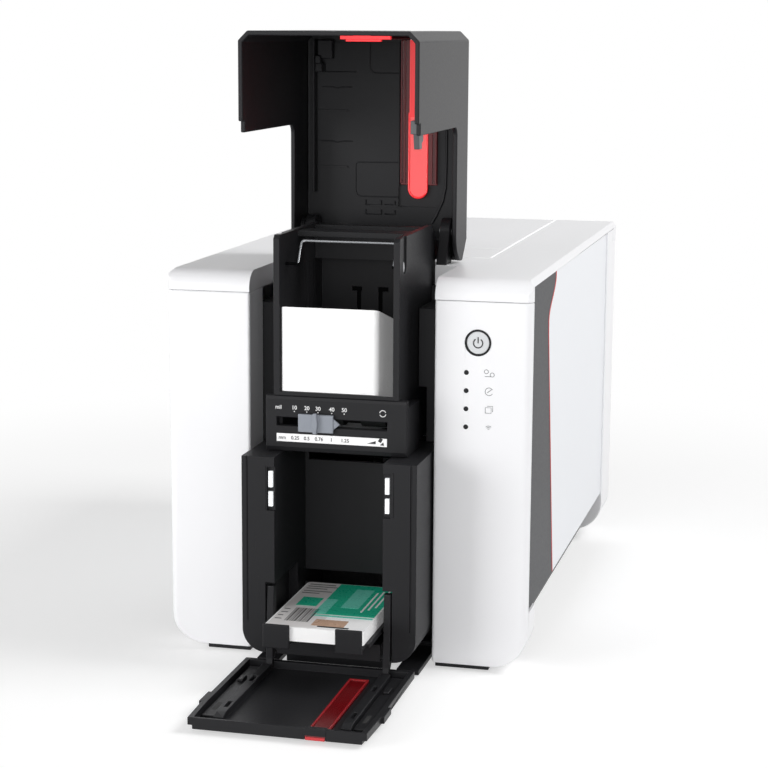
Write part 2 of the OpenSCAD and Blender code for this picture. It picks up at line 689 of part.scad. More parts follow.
// The bail is a bent rod: two pivots in the walls, two arms and the cross rod.
module wire_bail() color(steel) at_front() {
    cross_y = bail_y - bail_l * cos(bail_angle);
    cross_z = bail_z + bail_l * sin(bail_angle);
    arm = feeder_inner - 6;
    stub = bail_r + 0.3;
    rod_x(-arm - stub, arm + stub, cross_y, cross_z, bail_r);
    for (sx = [-1, 1]) {
        rod_x(sx < 0 ? -feeder_half + 0.4 : arm - stub, sx < 0 ? -arm + stub : feeder_half - 0.4,
              bail_y, bail_z, bail_r);
        rod_x(sx * (feeder_half - 0.6) - 0.3, sx * (feeder_half - 0.6) + 0.3, bail_y, bail_z, washer_r);
        translate([sx * arm, bail_y, bail_z]) rotate([90 - bail_angle, 0, 0])
            cylinder(r = bail_r - 0.05, h = bail_l);
    }
}

// Side view of the closed cover, deep over the column and shallow over the top.
module cover_profile() difference() {
    union() {
        translate([cover_deep_y, cover_skirt]) scale_corner(1, -1) corner_cut(5);
        cover_side();
    }
    difference() {
        translate([cover_axis_y, cover_skirt - 1]) square([cover_cut + 1, cover_cut + 1]);
        translate([cover_axis_y, cover_axis_z]) circle(cover_cut, $fn = 96);
    }
}

module cover_side() polygon([
    [cover_front, cover_low], [cover_front, cover_top], [cover_end - rear_chamfer, cover_top],
    [cover_end, cover_top - rear_chamfer], [cover_end, cover_skirt],
    [cover_deep_y, cover_skirt], [cover_deep_y, cover_low + 4], [cover_deep_y - 6, cover_low + 4],
    [cover_deep_y - 6, cover_low]]);

module cover_plan(inset) polygon([
    [-cover_half + inset, cover_end + 1], [-cover_half + inset, cover_front + cover_bevel + inset * 0.4],
    [-cover_half + cover_bevel + inset * 0.4, cover_front + inset],
    [cover_half - cover_bevel - inset * 0.4, cover_front + inset],
    [cover_half - inset, cover_front + cover_bevel + inset * 0.4], [cover_half - inset, cover_end + 1]]);

module cover_bosses(r) for (sx = [-1, 1])
    rod_x(sx < 0 ? -cover_half + cover_wall - eps : boss_x, sx < 0 ? -boss_x : cover_half - cover_wall + eps,
          cover_axis_y, cover_axis_z, r);

// The red window runs up the front, over the edge and along the top to a round end.
window_end = cover_end - 39.5;

module cover_slot() {
    z0 = cover_top - cover_wall - 1;
    box(window_x - window_w / 2, window_x + window_w / 2, cover_front - 1, window_end, z0, cover_top + 1);
    translate([window_x, window_end, z0]) cylinder(r = window_w / 2, h = cover_wall + 2);
    box(window_x - window_w / 2, window_x + window_w / 2, cover_front - 1, cover_front + cover_wall + 1,
        cover_low + 6, cover_top + 1);
}

module cover_shell() color(dark) at_front() cover_pose() {
    difference() {
        union() {
            difference() {
                intersection() {
                    along_x(-cover_half, cover_half) cover_profile();
                    linear_extrude(cover_top + 1) cover_plan(0);
                }
                intersection() {
                    translate([0, 0, -1]) linear_extrude(cover_top - cover_wall + 1) cover_plan(cover_wall);
                    along_x(-cover_half, cover_half) polygon([
                        [cover_front, 0], [cover_front, cover_top], [cover_end - rear_chamfer - 1, cover_top],
                        [cover_end - cover_wall, cover_top - rear_chamfer - 1],
                        [cover_end - cover_wall, cover_axis_z],
                        [cover_end + 2, cover_axis_z], [cover_end + 2, 0]]);
                }
            }
            cover_bosses(cover_pin_r + 2.5);
        }
        for (sx = [-1, 1]) rod_x(sx < 0 ? -cover_half + 1 : boss_x - 1, sx < 0 ? -boss_x + 1 : cover_half - 1,
                                 cover_axis_y, cover_axis_z, cover_pin_r + running);
        cover_slot();
    }
}

module cover_liner() color(black) at_front() cover_pose() difference() {
    inner = cover_half - cover_wall - fit;
    z1 = cover_top - cover_wall - eps;
    union() {
        box(-inner + 4, inner - 4, cover_front + 7, cover_end - rear_chamfer - 4, z1 - 1.4, z1);
        for (y = [8, 40]) box(-inner + 5, -inner + 24, y, y + 1, z1 - 2.2, z1 - 1.4 + eps);
        box(-8, 12, 62, 63, z1 - 2.2, z1 - 1.4 + eps);
        box(-inner + 4, -inner + 5, cover_front + 7, 55, z1 - 6, z1 - 1.4 + eps);
    }
    box(window_x - window_w / 2 - 6, window_x + window_w / 2 + 6, cover_front, window_end + window_w,
        z1 - 10, z1 + 1);
}

module cover_window() color(red) at_front() cover_pose() {
    z1 = cover_top - cover_wall;
    w = window_w - 0.2;
    y1 = cover_front + cover_wall;
    box(window_x - window_w / 2 - 5, window_x + window_w / 2 + 5, y1, window_end - 2, z1 - 1.6, z1);
    box(window_x - w / 2, window_x + w / 2, cover_front + 0.1, window_end, z1 - eps, cover_top - 0.1);
    translate([window_x, window_end, z1 - eps]) cylinder(r = w / 2, h = cover_wall - 0.1);
    box(window_x - window_w / 2 - 5, window_x + window_w / 2 + 5, y1, y1 + 1.6,
        cover_low + 4, z1 - 1.6 + eps);
    box(window_x - w / 2, window_x + w / 2, cover_front + 0.1, y1 + eps, cover_low + 6.1, cover_top - 0.1);
}

// The catch sits on the right wall at the rear edge of the cover's deep part.
module cover_catch() color("gray") at_front() cover_pose() {
    x1 = cover_half - cover_wall;
    y1 = cover_deep_y;
    z1 = cover_low + 17;
    box(x1 - 6, x1, y1 - 7, y1, z1, z1 + 14);
    along_x(x1 - 5, x1 - 2) polygon([[y1 - eps, z1 + 2], [y1 + 8, z1 + 4], [y1 + 8, z1 + 10],
                                     [y1 + 5, z1 + 10], [y1 + 4, z1 + 13], [y1 - eps, z1 + 13]]);
}

module cover_brackets() color(black) at_front() for (sx = [-1, 1]) difference() {
    along_x(sx * bracket_x - bracket_w / 2, sx * bracket_x + bracket_w / 2) union() {
        translate([cover_axis_y, cover_axis_z]) circle(bracket_r, $fn = 64);
        polygon([[cover_axis_y - 16, body_h], [cover_axis_y - 2, body_h], [cover_axis_y - 2, cover_axis_z],
                 [cover_axis_y - bracket_r + 0.2, cover_axis_z + 1], [cover_axis_y - 12, body_h + 8]]);
    }
    rod_x(sx * bracket_x - bracket_w, sx * bracket_x + bracket_w, cover_axis_y, cover_axis_z, cover_pin_r);
}

module cover_hinge_pins() color(steel) at_front() for (sx = [-1, 1])
    rod_x(sx < 0 ? -cover_half + 1.4 : bracket_x - bracket_w / 2 - 1,
          sx < 0 ? -bracket_x + bracket_w / 2 + 1 : cover_half - 1.4,
          cover_axis_y, cover_axis_z, cover_pin_r);

// Front view of the closed flap: its free corners taper and its outer face is bevelled.
module flap_front_view(inset) polygon([
    [-column_half + 1 + inset, flap_low], [column_half - 1 - inset, flap_low],
    [column_half - 1 - inset, flap_top - 24], [column_half - 2 - inset, flap_top],
    [-column_half + 2 + inset, flap_top], [-column_half + 1 + inset, flap_top - 24]]);

module flap_shell() color(dark) at_front() flap_pose() {
    difference() {
        union() {
            along_y(flap_front + 2, flap_front + flap_t) flap_front_view(0);
            along_y(flap_front, flap_front + 2) flap_front_view(2.4);
        }
        along_y(flap_front + 2, flap_front + flap_t + 1) polygon([
            [-column_half + 4, flap_low + 3], [column_half - 4, flap_low + 3],
            [column_half - 4, flap_top - 24], [column_half - 5, flap_top - 2],
            [-column_half + 5, flap_top - 2], [-column_half + 4, flap_top - 24]]);
        box(window_x - window_w / 2, window_x + window_w / 2, flap_front - 1, flap_front + 3,
            flap_low + 12, flap_top + 1);
        box(window_x - window_w / 2, window_x + window_w / 2, flap_front - 1, flap_front + flap_t + 1,
            flap_top - 3, flap_top + 1);
    }
    // raised rails in line with the arms, with catch slots
    for (sx = [-1, 1]) difference() {
        along_x(sx < 0 ? -arm_x - rail_w : arm_x, sx < 0 ? -arm_x : arm_x + rail_w) polygon([
            [flap_front + 2 - eps, flap_low + 7], [flap_front + flap_t - 0.5, flap_low + 7],
            [flap_front + flap_t - 0.5, flap_top - 14], [flap_front + 4, flap_top - 9],
            [flap_front + 2 - eps, flap_top - 9]]);
        for (z = [flap_top - 30, flap_top - 72])
            box(sx * (arm_x + rail_w / 2) - 1, sx * (arm_x + rail_w / 2) + 1,
                flap_front + 3, flap_front + 8, z, z + 9);
    }
    // finger ears near the free end
    for (sx = [-1, 1]) box(sx < 0 ? -column_half - 0.6 : column_half - 1.4,
                           sx < 0 ? -column_half + 1.4 : column_half + 0.6,
                           flap_front + 2.4, flap_front + flap_t, flap_top - 40, flap_top - 25);
}

module flap_arms() color(dark) at_front() flap_pose() for (sx = [-1, 1]) difference() {
    along_x(sx < 0 ? -arm_x - arm_w : arm_x, sx < 0 ? -arm_x : arm_x + arm_w) union() {
        translate([flap_axis_y, flap_axis_z]) circle(flap_pin_r + 1.7, $fn = 48);
        polygon([[flap_front + 2, flap_low + 3], [flap_front + 2, flap_low + 6],
                 [-hopper_out + 2, flap_low + 5],
                 [arm_back, flap_low + 2], [arm_back, flap_low - 2],
                 [flap_axis_y + 3.2, flap_low - 2.5], [flap_axis_y + 3.2, flap_axis_z],
                 [flap_axis_y - 3.2, flap_axis_z], [flap_axis_y - 3.2, flap_low - 2.5],
                 [-hopper_out, flap_low + 3]]);
    }
    rod_x(-column_half, column_half, flap_axis_y, flap_axis_z, flap_pin_r + running);
}

module flap_window() color(red) at_front() flap_pose() {
    w = window_w - 0.2;
    box(window_x - w / 2, window_x + w / 2, flap_front + 0.1, flap_front + 2.8,
        flap_low + 12.1, flap_top - 3 + eps);
    box(window_x - w / 2, window_x + w / 2, flap_front + 0.1, flap_front + flap_t, flap_top - 3, flap_top);
}

module flap_hinge_pins() color(steel) at_front() for (sx = [-1, 1])
    rod_x(sx < 0 ? -pin_x : mouth_w / 2 + 0.2, sx < 0 ? -mouth_w / 2 - 0.2 : pin_x,
          flap_axis_y, flap_axis_z, flap_pin_r);

module card_outline(y0)
    corner_rect(-card_w / 2, card_w / 2, y0, y0 + card_l, [card_r, card_r, card_r, card_r]);

module card_tray() color(black) at_front() {
    y0 = -tray_out;
    difference() {
        union() {
            box(-mouth_w / 2 + 0.6, mouth_w / 2 - 0.6, y0 + 6, y0 + card_l + 3, tray_z - 2.4, tray_z);
            box(-card_w / 2, card_w / 2, y0 - 2, y0 + 6 + eps, tray_z - 2.4, tray_z);
            box(-card_w / 2, card_w / 2, y0 - 2, y0 - 0.3, tray_z - 4, tray_z + printed_h + 1.4);
            box(-mouth_w / 2 + 0.6, mouth_w / 2 - 0.6, y0 + card_l + 0.4, y0 + card_l + 3,
                tray_z - 2.4, tray_z + printed_h);
        }
        box(-finger_w / 2, finger_w / 2, y0 - 3, y0 + 14, tray_z - 5, tray_z + printed_h + 2);
        translate([0, y0 + 14, tray_z - 5]) cylinder(r = finger_w / 2, h = 6);
    }
    for (x = [-16, 16]) box(x - 2, x + 2, y0 + 20, y0 + card_l, 22.3, tray_z - 2.4 + eps);
}

module printed_cards() color("mediumaquamarine") at_front() translate([0, 0, tray_z + 0.1])
    linear_extrude(printed_h) card_outline(-tray_out);

module blank_cards() color("white") at_front() intersection() {
    linear_extrude(feeder_top) translate([pile_x, 0]) card_shadow();
    along_x(-feeder_half, feeder_half) polygon([
        [-feeder_out - 1, pile_z + tan(card_tilt)], [-feeder_out - 1, pile_z + pile_h + tan(card_tilt)],
        [feeder_back, exit_z + pile_h], [feeder_back, exit_z]]);
}

module card_shadow() corner_rect(-card_w / 2, card_w / 2, -feeder_out, -feeder_out + card_l * cos(card_tilt),
                                 [card_r, card_r, card_r, card_r]);

// ---- controls ----

module power_button() color("gainsboro") at_front() {
    rod_y(button_x, 0.2, wall + 1.4, button_z, button_r);
    rod_y(button_x, wall + 1.4 - eps, wall + 2.6, button_z, button_r + bezel_w);
}

module button_bezel() color(dark) at_front() difference() {
    rod_y(button_x, -0.3, wall + 0.6, button_z, button_r + bezel_w);
    rod_y(button_x, -1, wall + 1, button_z, button_r + 0.2);
}

module status_lights() color(dark) at_front() for (i = [0:3]) {
    rod_y(light_x, -0.1, wall + 1, light_z - i * light_step, 1.3);
    rod_y(light_x, wall + running, wall + 3, light_z - i * light_step, 2);
}

// ---- print engine ----

module plate_profile() difference() {
    polygon([[72, foot_h + 3], [body_d - 24, foot_h + 3], [body_d - 24, seam_z - 6], [lid_y, seam_z - 6],
             [lid_y - 8, seam_z - 16], [72, seam_z - 16]]);
    for (i = [1:4]) translate([rollers[i][1], rollers[i][2]]) circle(shaft_r + running);
    translate([takeup_y, takeup_z]) circle(shaft_r + running);
    translate([supply_y, supply_z]) circle(shaft_r + running);
    translate([pinion_y, pinion_z]) circle(1.5 + fit);
    translate([motor_y, motor_z]) circle(2 + fit);
}

module chassis_plate_left() color(steel) at_front() along_x(-plate_x - plate_t, -plate_x) plate_profile();

module chassis_plate_right() color(steel) at_front() along_x(plate_x, plate_x + plate_t) plate_profile();

// Cross members of the chassis, with the ribbon's guide rods.
module chassis_rods() color(steel) at_front() {
    for (p = [[80, 60], [body_d - 40, 60], [80, seam_z - 30], [body_d - 34, seam_z - 22]])
        rod_x(-plate_x, plate_x, p[0], p[1], 4);
    for (p = [rod_front, rod_rear]) rod_x(-plate_x, plate_x, p[0], p[1], 2);
    for (i = [1:3])
        box(-plate_x, plate_x, rollers[i][1] + 11, rollers[i + 1][1] - 11, path_z - 1.6, path_z - 0.6);
}

module roller(i, r, tyre_half) {
    y = rollers[i][1];
    z = rollers[i][2];
    rod_x(-tyre_half, tyre_half, y, z, r);
    rod_x(belt_x - 5, plate_x + 4, y, z, shaft_r);
    rod_x(belt_x - 4, belt_x + 3, y, z, pulley_r);
}

module pick_roller() color(dark) at_front() {
    y = rollers[0][1];
    z = rollers[0][2];
    for (sx = [-1, 1]) rod_x(sx * 12 - 7, sx * 12 + 7, y, z, feed_r);
    rod_x(-feeder_half - 4, feeder_half + 2, y, z, shaft_r);
    rod_x(-feeder_half - 4, -feeder_half - 1, y, z, pulley_r);
}

module eject_roller() color(dark) at_front() roller(1, feed_r, 27);

module cleaning_roller() color("deepskyblue") at_front() roller(2, feed_r, 30);

module platen_roller() color(dark) at_front() roller(3, platen_r, 31);

module transport_roller() color(dark) at_front() roller(4, feed_r, 27);

module spool(y, z, r) {
    rod_x(-ribbon_w / 2, ribbon_w / 2, y, z, r);
    rod_x(-spool_half, spool_half, y, z, 6);
    for (sx = [-1, 1]) rod_x(sx < 0 ? -ribbon_w / 2 - 4 : ribbon_w / 2 + 2,
                             sx < 0 ? -ribbon_w / 2 - 2 : ribbon_w / 2 + 4, y, z, r + 1.5);
}

module ribbon_supply() color("goldenrod") at_front() {
    spool(supply_y, supply_z, supply_r);
    rod_x(-plate_x - 3, plate_x + 3, supply_y, supply_z, shaft_r);
}

// The ribbon runs from the supply roll under the two guide rods and the print head.
module ribbon_web() color("dimgray") at_front() along_x(-ribbon_w / 2 + 1, ribbon_w / 2 - 1) {
    route = [[supply_y, supply_z] + (supply_r + 0.4) * [cos(215), sin(215)],
             rod_rear + [2.5, -1], rod_rear + [0.6, -2.6], [print_y + 2, path_z + 1.4],
             [print_y - 2, path_z + 1.4], rod_front + [-0.6, -2.6], rod_front + [-2.5, -1],
             [takeup_y, takeup_z] + (takeup_r + 0.4) * [cos(-35), sin(-35)]];
    for (i = [0:6]) hull() {
        translate(route[i]) circle(0.12, $fn = 8);
        translate(route[i + 1]) circle(0.12, $fn = 8);
    }
}

// Trapezoid teeth on a circle: tip, root and flanks from the module.
tooth = [[-0.3, -1.15], [-0.15, 0.95], [0.15, 0.95], [0.3, -1.15]];
function gear_points(n, phase) = [for (i = [0:n - 1], s = tooth)
    let (a = 360 * (i + s[0]) / n + phase, r = gear_module * (n / 2 + s[1])) [r * cos(a), r * sin(a)]];

module ribbon_takeup() color("goldenrod") at_front() {
    spool(takeup_y, takeup_z, takeup_r);
    rod_x(belt_x, plate_x + 3, takeup_y, takeup_z, shaft_r);
    along_x(belt_x - 3, belt_x + 1) translate([takeup_y, takeup_z])
        polygon(gear_points(gear_teeth, gear_dir));
}

module ribbon_pinion() color("brown") at_front() difference() {
    along_x(belt_x - 4, belt_x + 2) translate([pinion_y, pinion_z])
        polygon(gear_points(pinion_teeth, gear_dir + 180 + 180 / pinion_teeth));
    rod_x(belt_x - 5, belt_x + 3, pinion_y, pinion_z, 1.5 + running);
}

module ribbon_motor() color(steel) at_front() {
    rod_x(-plate_x + eps, -plate_x + 14, pinion_y, pinion_z, 8);
    rod_x(belt_x - 5, -plate_x + 1, pinion_y, pinion_z, 1.5);
}

module drive_motor() color(steel) at_front() {
    rod_x(-plate_x, -plate_x + 30, motor_y, motor_z, 17);
    rod_x(belt_x - 5, -plate_x + 1, motor_y, motor_z, 2);
}

module drive_pulley() color("brown") at_front() difference() {
    rod_x(belt_x - 4, belt_x + 3, motor_y, motor_z, pulley_r);
    rod_x(belt_x - 5, belt_x + 4, motor_y, motor_z, 2 + running);
}

module belt_path(grow) hull()
    for (p = [[rollers[1][1], rollers[1][2]], [rollers[4][1], rollers[4][2]], [motor_y, motor_z]])
        translate(p) circle(pulley_r + fit + grow, $fn = 32);

module drive_belt() color(black) at_front() along_x(belt_x - 3, belt_x + 2) difference() {
    belt_path(belt_t);
    belt_path(0);
}

socket_list = [[30, 46, 12, 11], [52, 46, 16, 13.6], [78, 46, 9, 11]];

module main_board() color("darkgreen") at_front() {
    x0 = plate_x + 16;
    x1 = x0 + 1.6;
    top = seam_z - 25;
    box(x0, x1, 90, body_d - 26, 60, top);
    for (y = [100, body_d - 36], z = [70, top - 10]) rod_x(plate_x + plate_t, x0, y, z, 3);
    for (b = [[120, 90, 30, 24], [180, 120, 22, 22], [240, 80, 34, 14], [200, top - 22, 40, 8]])
        box(x1 - eps, x1 + 2.4, b[0], b[0] + b[2], b[1], b[1] + b[3]);
}

module rear_sockets() color(dark) at_front() {
    for (s = socket_list) difference() {
        box(s[0] - s[2] / 2, s[0] + s[2] / 2, body_d - rear_d + 1, body_d - 0.6, s[1], s[1] + s[3]);
        box(s[0] - s[2] / 2 + 1.6, s[0] + s[2] / 2 - 1.6, body_d - 9, body_d, s[1] + 1.6, s[1] + s[3] - 1.6);
    }
    box(16, 90, body_d - rear_d - 1, body_d - rear_d + 1 + eps, 42, 64);
}

module chassis_screws() color(steel) at_front()
    for (sx = [-1, 1], p = [[80, 60], [body_d - 40, 60], [80, seam_z - 30]])
        rod_x(sx < 0 ? -plate_x - plate_t - 1.8 : plate_x + plate_t,
              sx < 0 ? -plate_x - plate_t : plate_x + plate_t + 1.8, p[0], p[1], 3);

base_tray();
rubber_feet();
front_panel_left();
front_panel_right();
top_frame();
top_deck();
top_lid();
lid_hinge_pins();
head_carrier();
print_head();
rear_housing();
side_panel_left();
side_panel_right();
side_stripe_left();
side_stripe_right();
side_trims();
recess_panel();
output_hopper();
hopper_light_pipes();
feeder_housing();
gauge_panel();
gauge_scale();
gauge_slider();
wire_bail();
cover_shell();
cover_liner();
cover_window();
cover_catch();
cover_brackets();
cover_hinge_pins();
flap_shell();
flap_arms();
flap_window();
flap_hinge_pins();
card_tray();
printed_cards();
blank_cards();
power_button();
button_bezel();
status_lights();
chassis_plate_left();
chassis_plate_right();
chassis_rods();
pick_roller();
eject_roller();
cleaning_roller();
platen_roller();
transport_roller();
ribbon_supply();
ribbon_takeup();
ribbon_web();
ribbon_pinion();
ribbon_motor();
drive_motor();
drive_pulley();
drive_belt();
main_board();
rear_sockets();
chassis_screws();
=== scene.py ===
import json
import logging
import math
from dataclasses import dataclass
from enum import Enum

import bpy
from mathutils import Matrix, Vector


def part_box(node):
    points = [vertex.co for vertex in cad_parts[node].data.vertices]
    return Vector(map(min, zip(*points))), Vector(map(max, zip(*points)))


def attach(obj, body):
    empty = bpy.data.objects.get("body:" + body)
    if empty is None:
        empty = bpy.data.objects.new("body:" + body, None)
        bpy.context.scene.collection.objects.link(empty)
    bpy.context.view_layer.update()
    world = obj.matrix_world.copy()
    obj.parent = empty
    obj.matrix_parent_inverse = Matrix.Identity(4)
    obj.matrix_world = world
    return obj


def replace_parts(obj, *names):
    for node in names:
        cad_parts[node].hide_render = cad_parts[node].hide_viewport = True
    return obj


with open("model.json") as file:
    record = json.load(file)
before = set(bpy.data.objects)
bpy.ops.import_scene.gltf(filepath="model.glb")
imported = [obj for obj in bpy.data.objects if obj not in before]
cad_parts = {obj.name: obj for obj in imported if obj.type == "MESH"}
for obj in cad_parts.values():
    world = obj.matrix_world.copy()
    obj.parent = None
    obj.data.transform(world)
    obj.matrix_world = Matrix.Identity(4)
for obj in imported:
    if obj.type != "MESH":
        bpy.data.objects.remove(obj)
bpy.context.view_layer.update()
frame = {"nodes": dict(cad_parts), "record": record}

LOG = logging.getLogger("card_printer")
MM = 0.001
FRONT_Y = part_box("front_panel_left")[0].y
REAR_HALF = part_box("rear_housing")[1].x / MM
SKIN_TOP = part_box("side_panel_right")[1].z / MM
BODY_OF = {node: body for body, nodes in frame["record"]["behaviour"]["bodies"].items() for node in nodes}
SLOT_OF = {row["node"]: row["material_slot"] for row in frame["record"]["subparts"]}

Point = tuple[float, float, float]
Span = tuple[float, float]


class Face(Enum):
    """The side that a flat mark or a word looks to."""

    FRONT = (math.radians(90), 0.0, 0.0)
    UP = (0.0, 0.0, 0.0)


def at(x: float, y: float, z: float) -> Vector:
    """Turns millimetres, with y counted from the white front face, into the frame's metres."""
    return Vector((x * MM, FRONT_Y + y * MM, z * MM))


def linear(colour: str) -> tuple[float, float, float, float]:
    """Turns an sRGB hex value into the linear colour that a shader takes.

    Args:
        colour: six hex digits.

    Returns:
        Red, green, blue and an alpha of 1.
    """
    parts = [int(colour[i:i + 2], 16) / 255 for i in (0, 2, 4)]
    return (*[c / 12.92 if c <= 0.04045 else ((c + 0.055) / 1.055) ** 2.4 for c in parts], 1.0)


def add_node(material: bpy.types.Material, kind: str, inputs: dict | None = None, **settings) -> bpy.types.Node:
    """Adds one node with its settings and links.

    Args:
        material: the material or world whose tree gets the node.
        kind: the node's type.
        inputs: socket names or numbers with the value, or the output socket, that each one takes.
        settings: the node's own attributes.

    Returns:
        The new node.
    """
    tree = material.node_tree
    made = tree.nodes.new(kind)
    for key, value in settings.items():
        setattr(made, key, value)
    for key, value in (inputs or {}).items():
        if isinstance(value, bpy.types.NodeSocket):
            tree.links.new(value, made.inputs[key])
        else:
            made.inputs[key].default_value = value
    return made


@dataclass(frozen=True)
class Finish:
    """A material and how its surface was made.

    grain is the size of the surface's pattern and mottle that of its slow change of tone, both in mm.
    """

    name: str
    colour: str
    roughness: float = 0.4
    grain: float = 1.2
    relief: float = 0.02
    mottle: float = 45.0
    tone: float = 0.04
    metallic: float = 0.0
    ior: float = 1.46
    clear: float = 0.0
    glow: float = 0.0
    dull: float = 0.5
    brushed: tuple[float, float, float] = (1.0, 1.0, 1.0)

    def material(self) -> bpy.types.Material:
        """Makes the material once and gives the same one after that."""
        known = bpy.data.materials.get(self.name)
        if known:
            return known
        made = bpy.data.materials.new(self.name)
        made.use_nodes = True
        made.node_tree.nodes.clear()
        coords = add_node(made, "ShaderNodeTexCoord")
        stretch = add_node(made, "ShaderNodeMapping", {"Vector": coords.outputs["Object"], "Scale": self.brushed})
        fine = add_node(made, "ShaderNodeTexNoise",
                        {"Vector": stretch.outputs[0], "Scale": 1 / (self.grain * MM), "Detail": 2.0})
        slow = add_node(made, "ShaderNodeTexNoise",
                        {"Vector": coords.outputs["Object"], "Scale": 1 / (self.mottle * MM), "Detail": 3.0})
        base = linear(self.colour)
        dark = tuple(c * (1 - self.tone) for c in base[:3]) + (1.0,)
        light = tuple(min(1.0, c * (1 + self.tone)) for c in base[:3]) + (1.0,)
        mix = add_node(made, "ShaderNodeMix", {0: slow.outputs["Fac"], 6: dark, 7: light}, data_type="RGBA")
        rough = add_node(made, "ShaderNodeMapRange",
                         {"Value": fine.outputs["Fac"], "To Min": self.roughness * 0.86,
                          "To Max": min(1.0, self.roughness * 1.14)})
        bump = add_node(made, "ShaderNodeBump",
                        {"Height": fine.outputs["Fac"], "Strength": 0.6, "Distance": self.relief * MM})
        shader = add_node(made, "ShaderNodeBsdfPrincipled",
                          {"Base Color": mix.outputs[2], "Roughness": rough.outputs[0], "Metallic": self.metallic,
                           "Normal": bump.outputs[0]})
        if not self.metallic:
            shader.inputs["IOR"].default_value = self.ior
            shader.inputs["Specular IOR Level"].default_value = self.dull
        if self.clear:
            shader.inputs["Transmission Weight"].default_value = self.clear
        if self.glow:
            shader.inputs["Emission Color"].default_value = base
            shader.inputs["Emission Strength"].default_value = self.glow
        add_node(made, "ShaderNodeOutputMaterial", {"Surface": shader.outputs[0]})
        return made


# Injection-moulded ABS in gloss white: a faint orange peel several millimetres wide.
WHITE_ABS = Finish("gloss_white_abs", "F4F4F6", 0.34, 5.0, 0.008, 90, 0.012)
# The same resin, smoother, with a faint glow: a painted highlight on the beads along the top's seams.
HIGHLIGHT_ABS = Finish("painted_highlight_abs", "FAFAFA", 0.16, 5.0, 0.002, 90, 0.01, glow=0.2)
# The same resin tinted cool grey, polished in the mould.
PALE_ABS = Finish("pale_grey_abs", "EEF0F4", 0.34, 5.0, 0.003, 120, 0.012)
# Mid-grey moulded ABS with a satin grain.
STRIPE_ABS = Finish("stripe_grey_abs", "303134", 0.42, 1.4, 0.008, 60, 0.03, dull=0.15)
# Gloss red line inlaid between the skins.
TRIM_RED = Finish("trim_red_abs", "D23A3E", 0.3, 2.0, 0.004, 30, 0.03)
# Spark-textured black ABS. The real 0.3 mm grain is too fine to show, so it is drawn at 1.1 mm.
BLACK_ABS = Finish("black_textured_abs", "212123", 0.42, 1.1, 0.014, 40, 0.08, dull=0.18)
# Charcoal ABS of the cover and the flap, a little lighter and smoother outside.
CHARCOAL_ABS = Finish("charcoal_abs", "202022", 0.38, 1.1, 0.012, 50, 0.06, dull=0.2)
# Milky acrylic light pipe.
MILKY_ACRYLIC = Finish("milky_acrylic", "F2F4F6", 0.3, 2.0, 0.004, 20, 0.01, glow=0.35)
# Red polycarbonate window: dark over black, bright where the daylight comes through it. The glow of the plate, the
# lens, its rim and its clip is painted light.
RED_POLYCARBONATE = Finish("red_polycarbonate", "66161B", 0.2, 3.0, 0.004, 20, 0.05, ior=1.58, clear=0.15, glow=0.03,
                           dull=0.35)
LIT_POLYCARBONATE = Finish("lit_red_polycarbonate", "EC5052", 0.24, 3.0, 0.004, 20, 0.05, ior=1.58, glow=0.38)
LIT_RIM_POLYCARBONATE = Finish("lit_red_rim_polycarbonate", "E3292F", 0.2, 3.0, 0.004, 20, 0.02, ior=1.58, glow=0.5)
# The same red where no daylight reaches it.
DIM_POLYCARBONATE = Finish("dim_red_polycarbonate", "9C2228", 0.22, 3.0, 0.004, 20, 0.05, ior=1.58)
ACCENT_POLYCARBONATE = Finish("accent_red_polycarbonate", "C42A30", 0.2, 3.0, 0.004, 20, 0.03, ior=1.58)
DEEP_POLYCARBONATE = Finish("deep_red_polycarbonate", "6A0C12", 0.18, 3.0, 0.004, 20, 0.05, ior=1.58)
# Blue-grey nylon slider.
GREY_NYLON = Finish("grey_nylon", "868B94", 0.42, 1.6, 0.012, 25, 0.04, ior=1.53)
# Dark grey nylon catch.
DARK_NYLON = Finish("dark_nylon", "4A4C4F", 0.4, 1.6, 0.012, 25, 0.04, ior=1.53)
# Cold-rolled steel sheet and ground shafts, with the rolling's fine lines along X.
PLAIN_STEEL = Finish("cold_rolled_steel", "A9ABAE", 0.32, 0.9, 0.006, 30, 0.05, 1.0, brushed=(0.12, 1.0, 1.0))
# Bright drawn and plated spring wire.
BRIGHT_WIRE = Finish("plated_wire", "8E9093", 0.28, 2.0, 0.003, 20, 0.02, 1.0)
# Dull zinc plate on pressed washers.
DULL_ZINC = Finish("dull_zinc", "D4D5D8", 0.5, 2.0, 0.004, 20, 0.03, 0.4)
# Near-black painted shade: it fills the back wall's slots and darkens the bail's sleeves to the shade round them.
SHADE_BLACK = Finish("painted_shade_black", "070708", 0.7, 1.1, 0.01, 20, 0.05, dull=0.05)
# Soft black silicone rubber.
BLACK_RUBBER = Finish("black_rubber", "191919", 0.7, 1.0, 0.03, 15, 0.06, ior=1.52)
# Tacky blue cleaning roller.
BLUE_SILICONE = Finish("blue_silicone", "2B6FA8", 0.3, 2.5, 0.01, 20, 0.05, ior=1.41)
# White PVC card. Its glow is painted light that lifts the pile's side in the feeder's shade.
GLOWING_CARD_PVC = Finish("card_pvc_painted_glow", "EFEFEF", 0.32, 3.0, 0.004, 60, 0.012, ior=1.53, glow=0.12)
# Prints on the card; the grey, green and mint ones glow a little, which is painted light.
CARD_GREY = Finish("card_grey_print", "DEDBDA", 0.3, 3.0, 0.003, 25, 0.03, ior=1.53, glow=0.08)
CARD_GREEN = Finish("card_green_print", "22B08D", 0.28, 3.0, 0.003, 12, 0.05, ior=1.53, glow=0.12)
CARD_MINT = Finish("card_mint_print", "6CCDB8", 0.28, 3.0, 0.003, 12, 0.04, ior=1.53, glow=0.12)
CARD_WARM = Finish("card_warm_print", "C9A790", 0.28, 3.0, 0.003, 12, 0.05, ior=1.53)
CARD_INK = Finish("card_dark_print", "3A3F41", 0.3, 3.0, 0.003, 12, 0.05, ior=1.53)
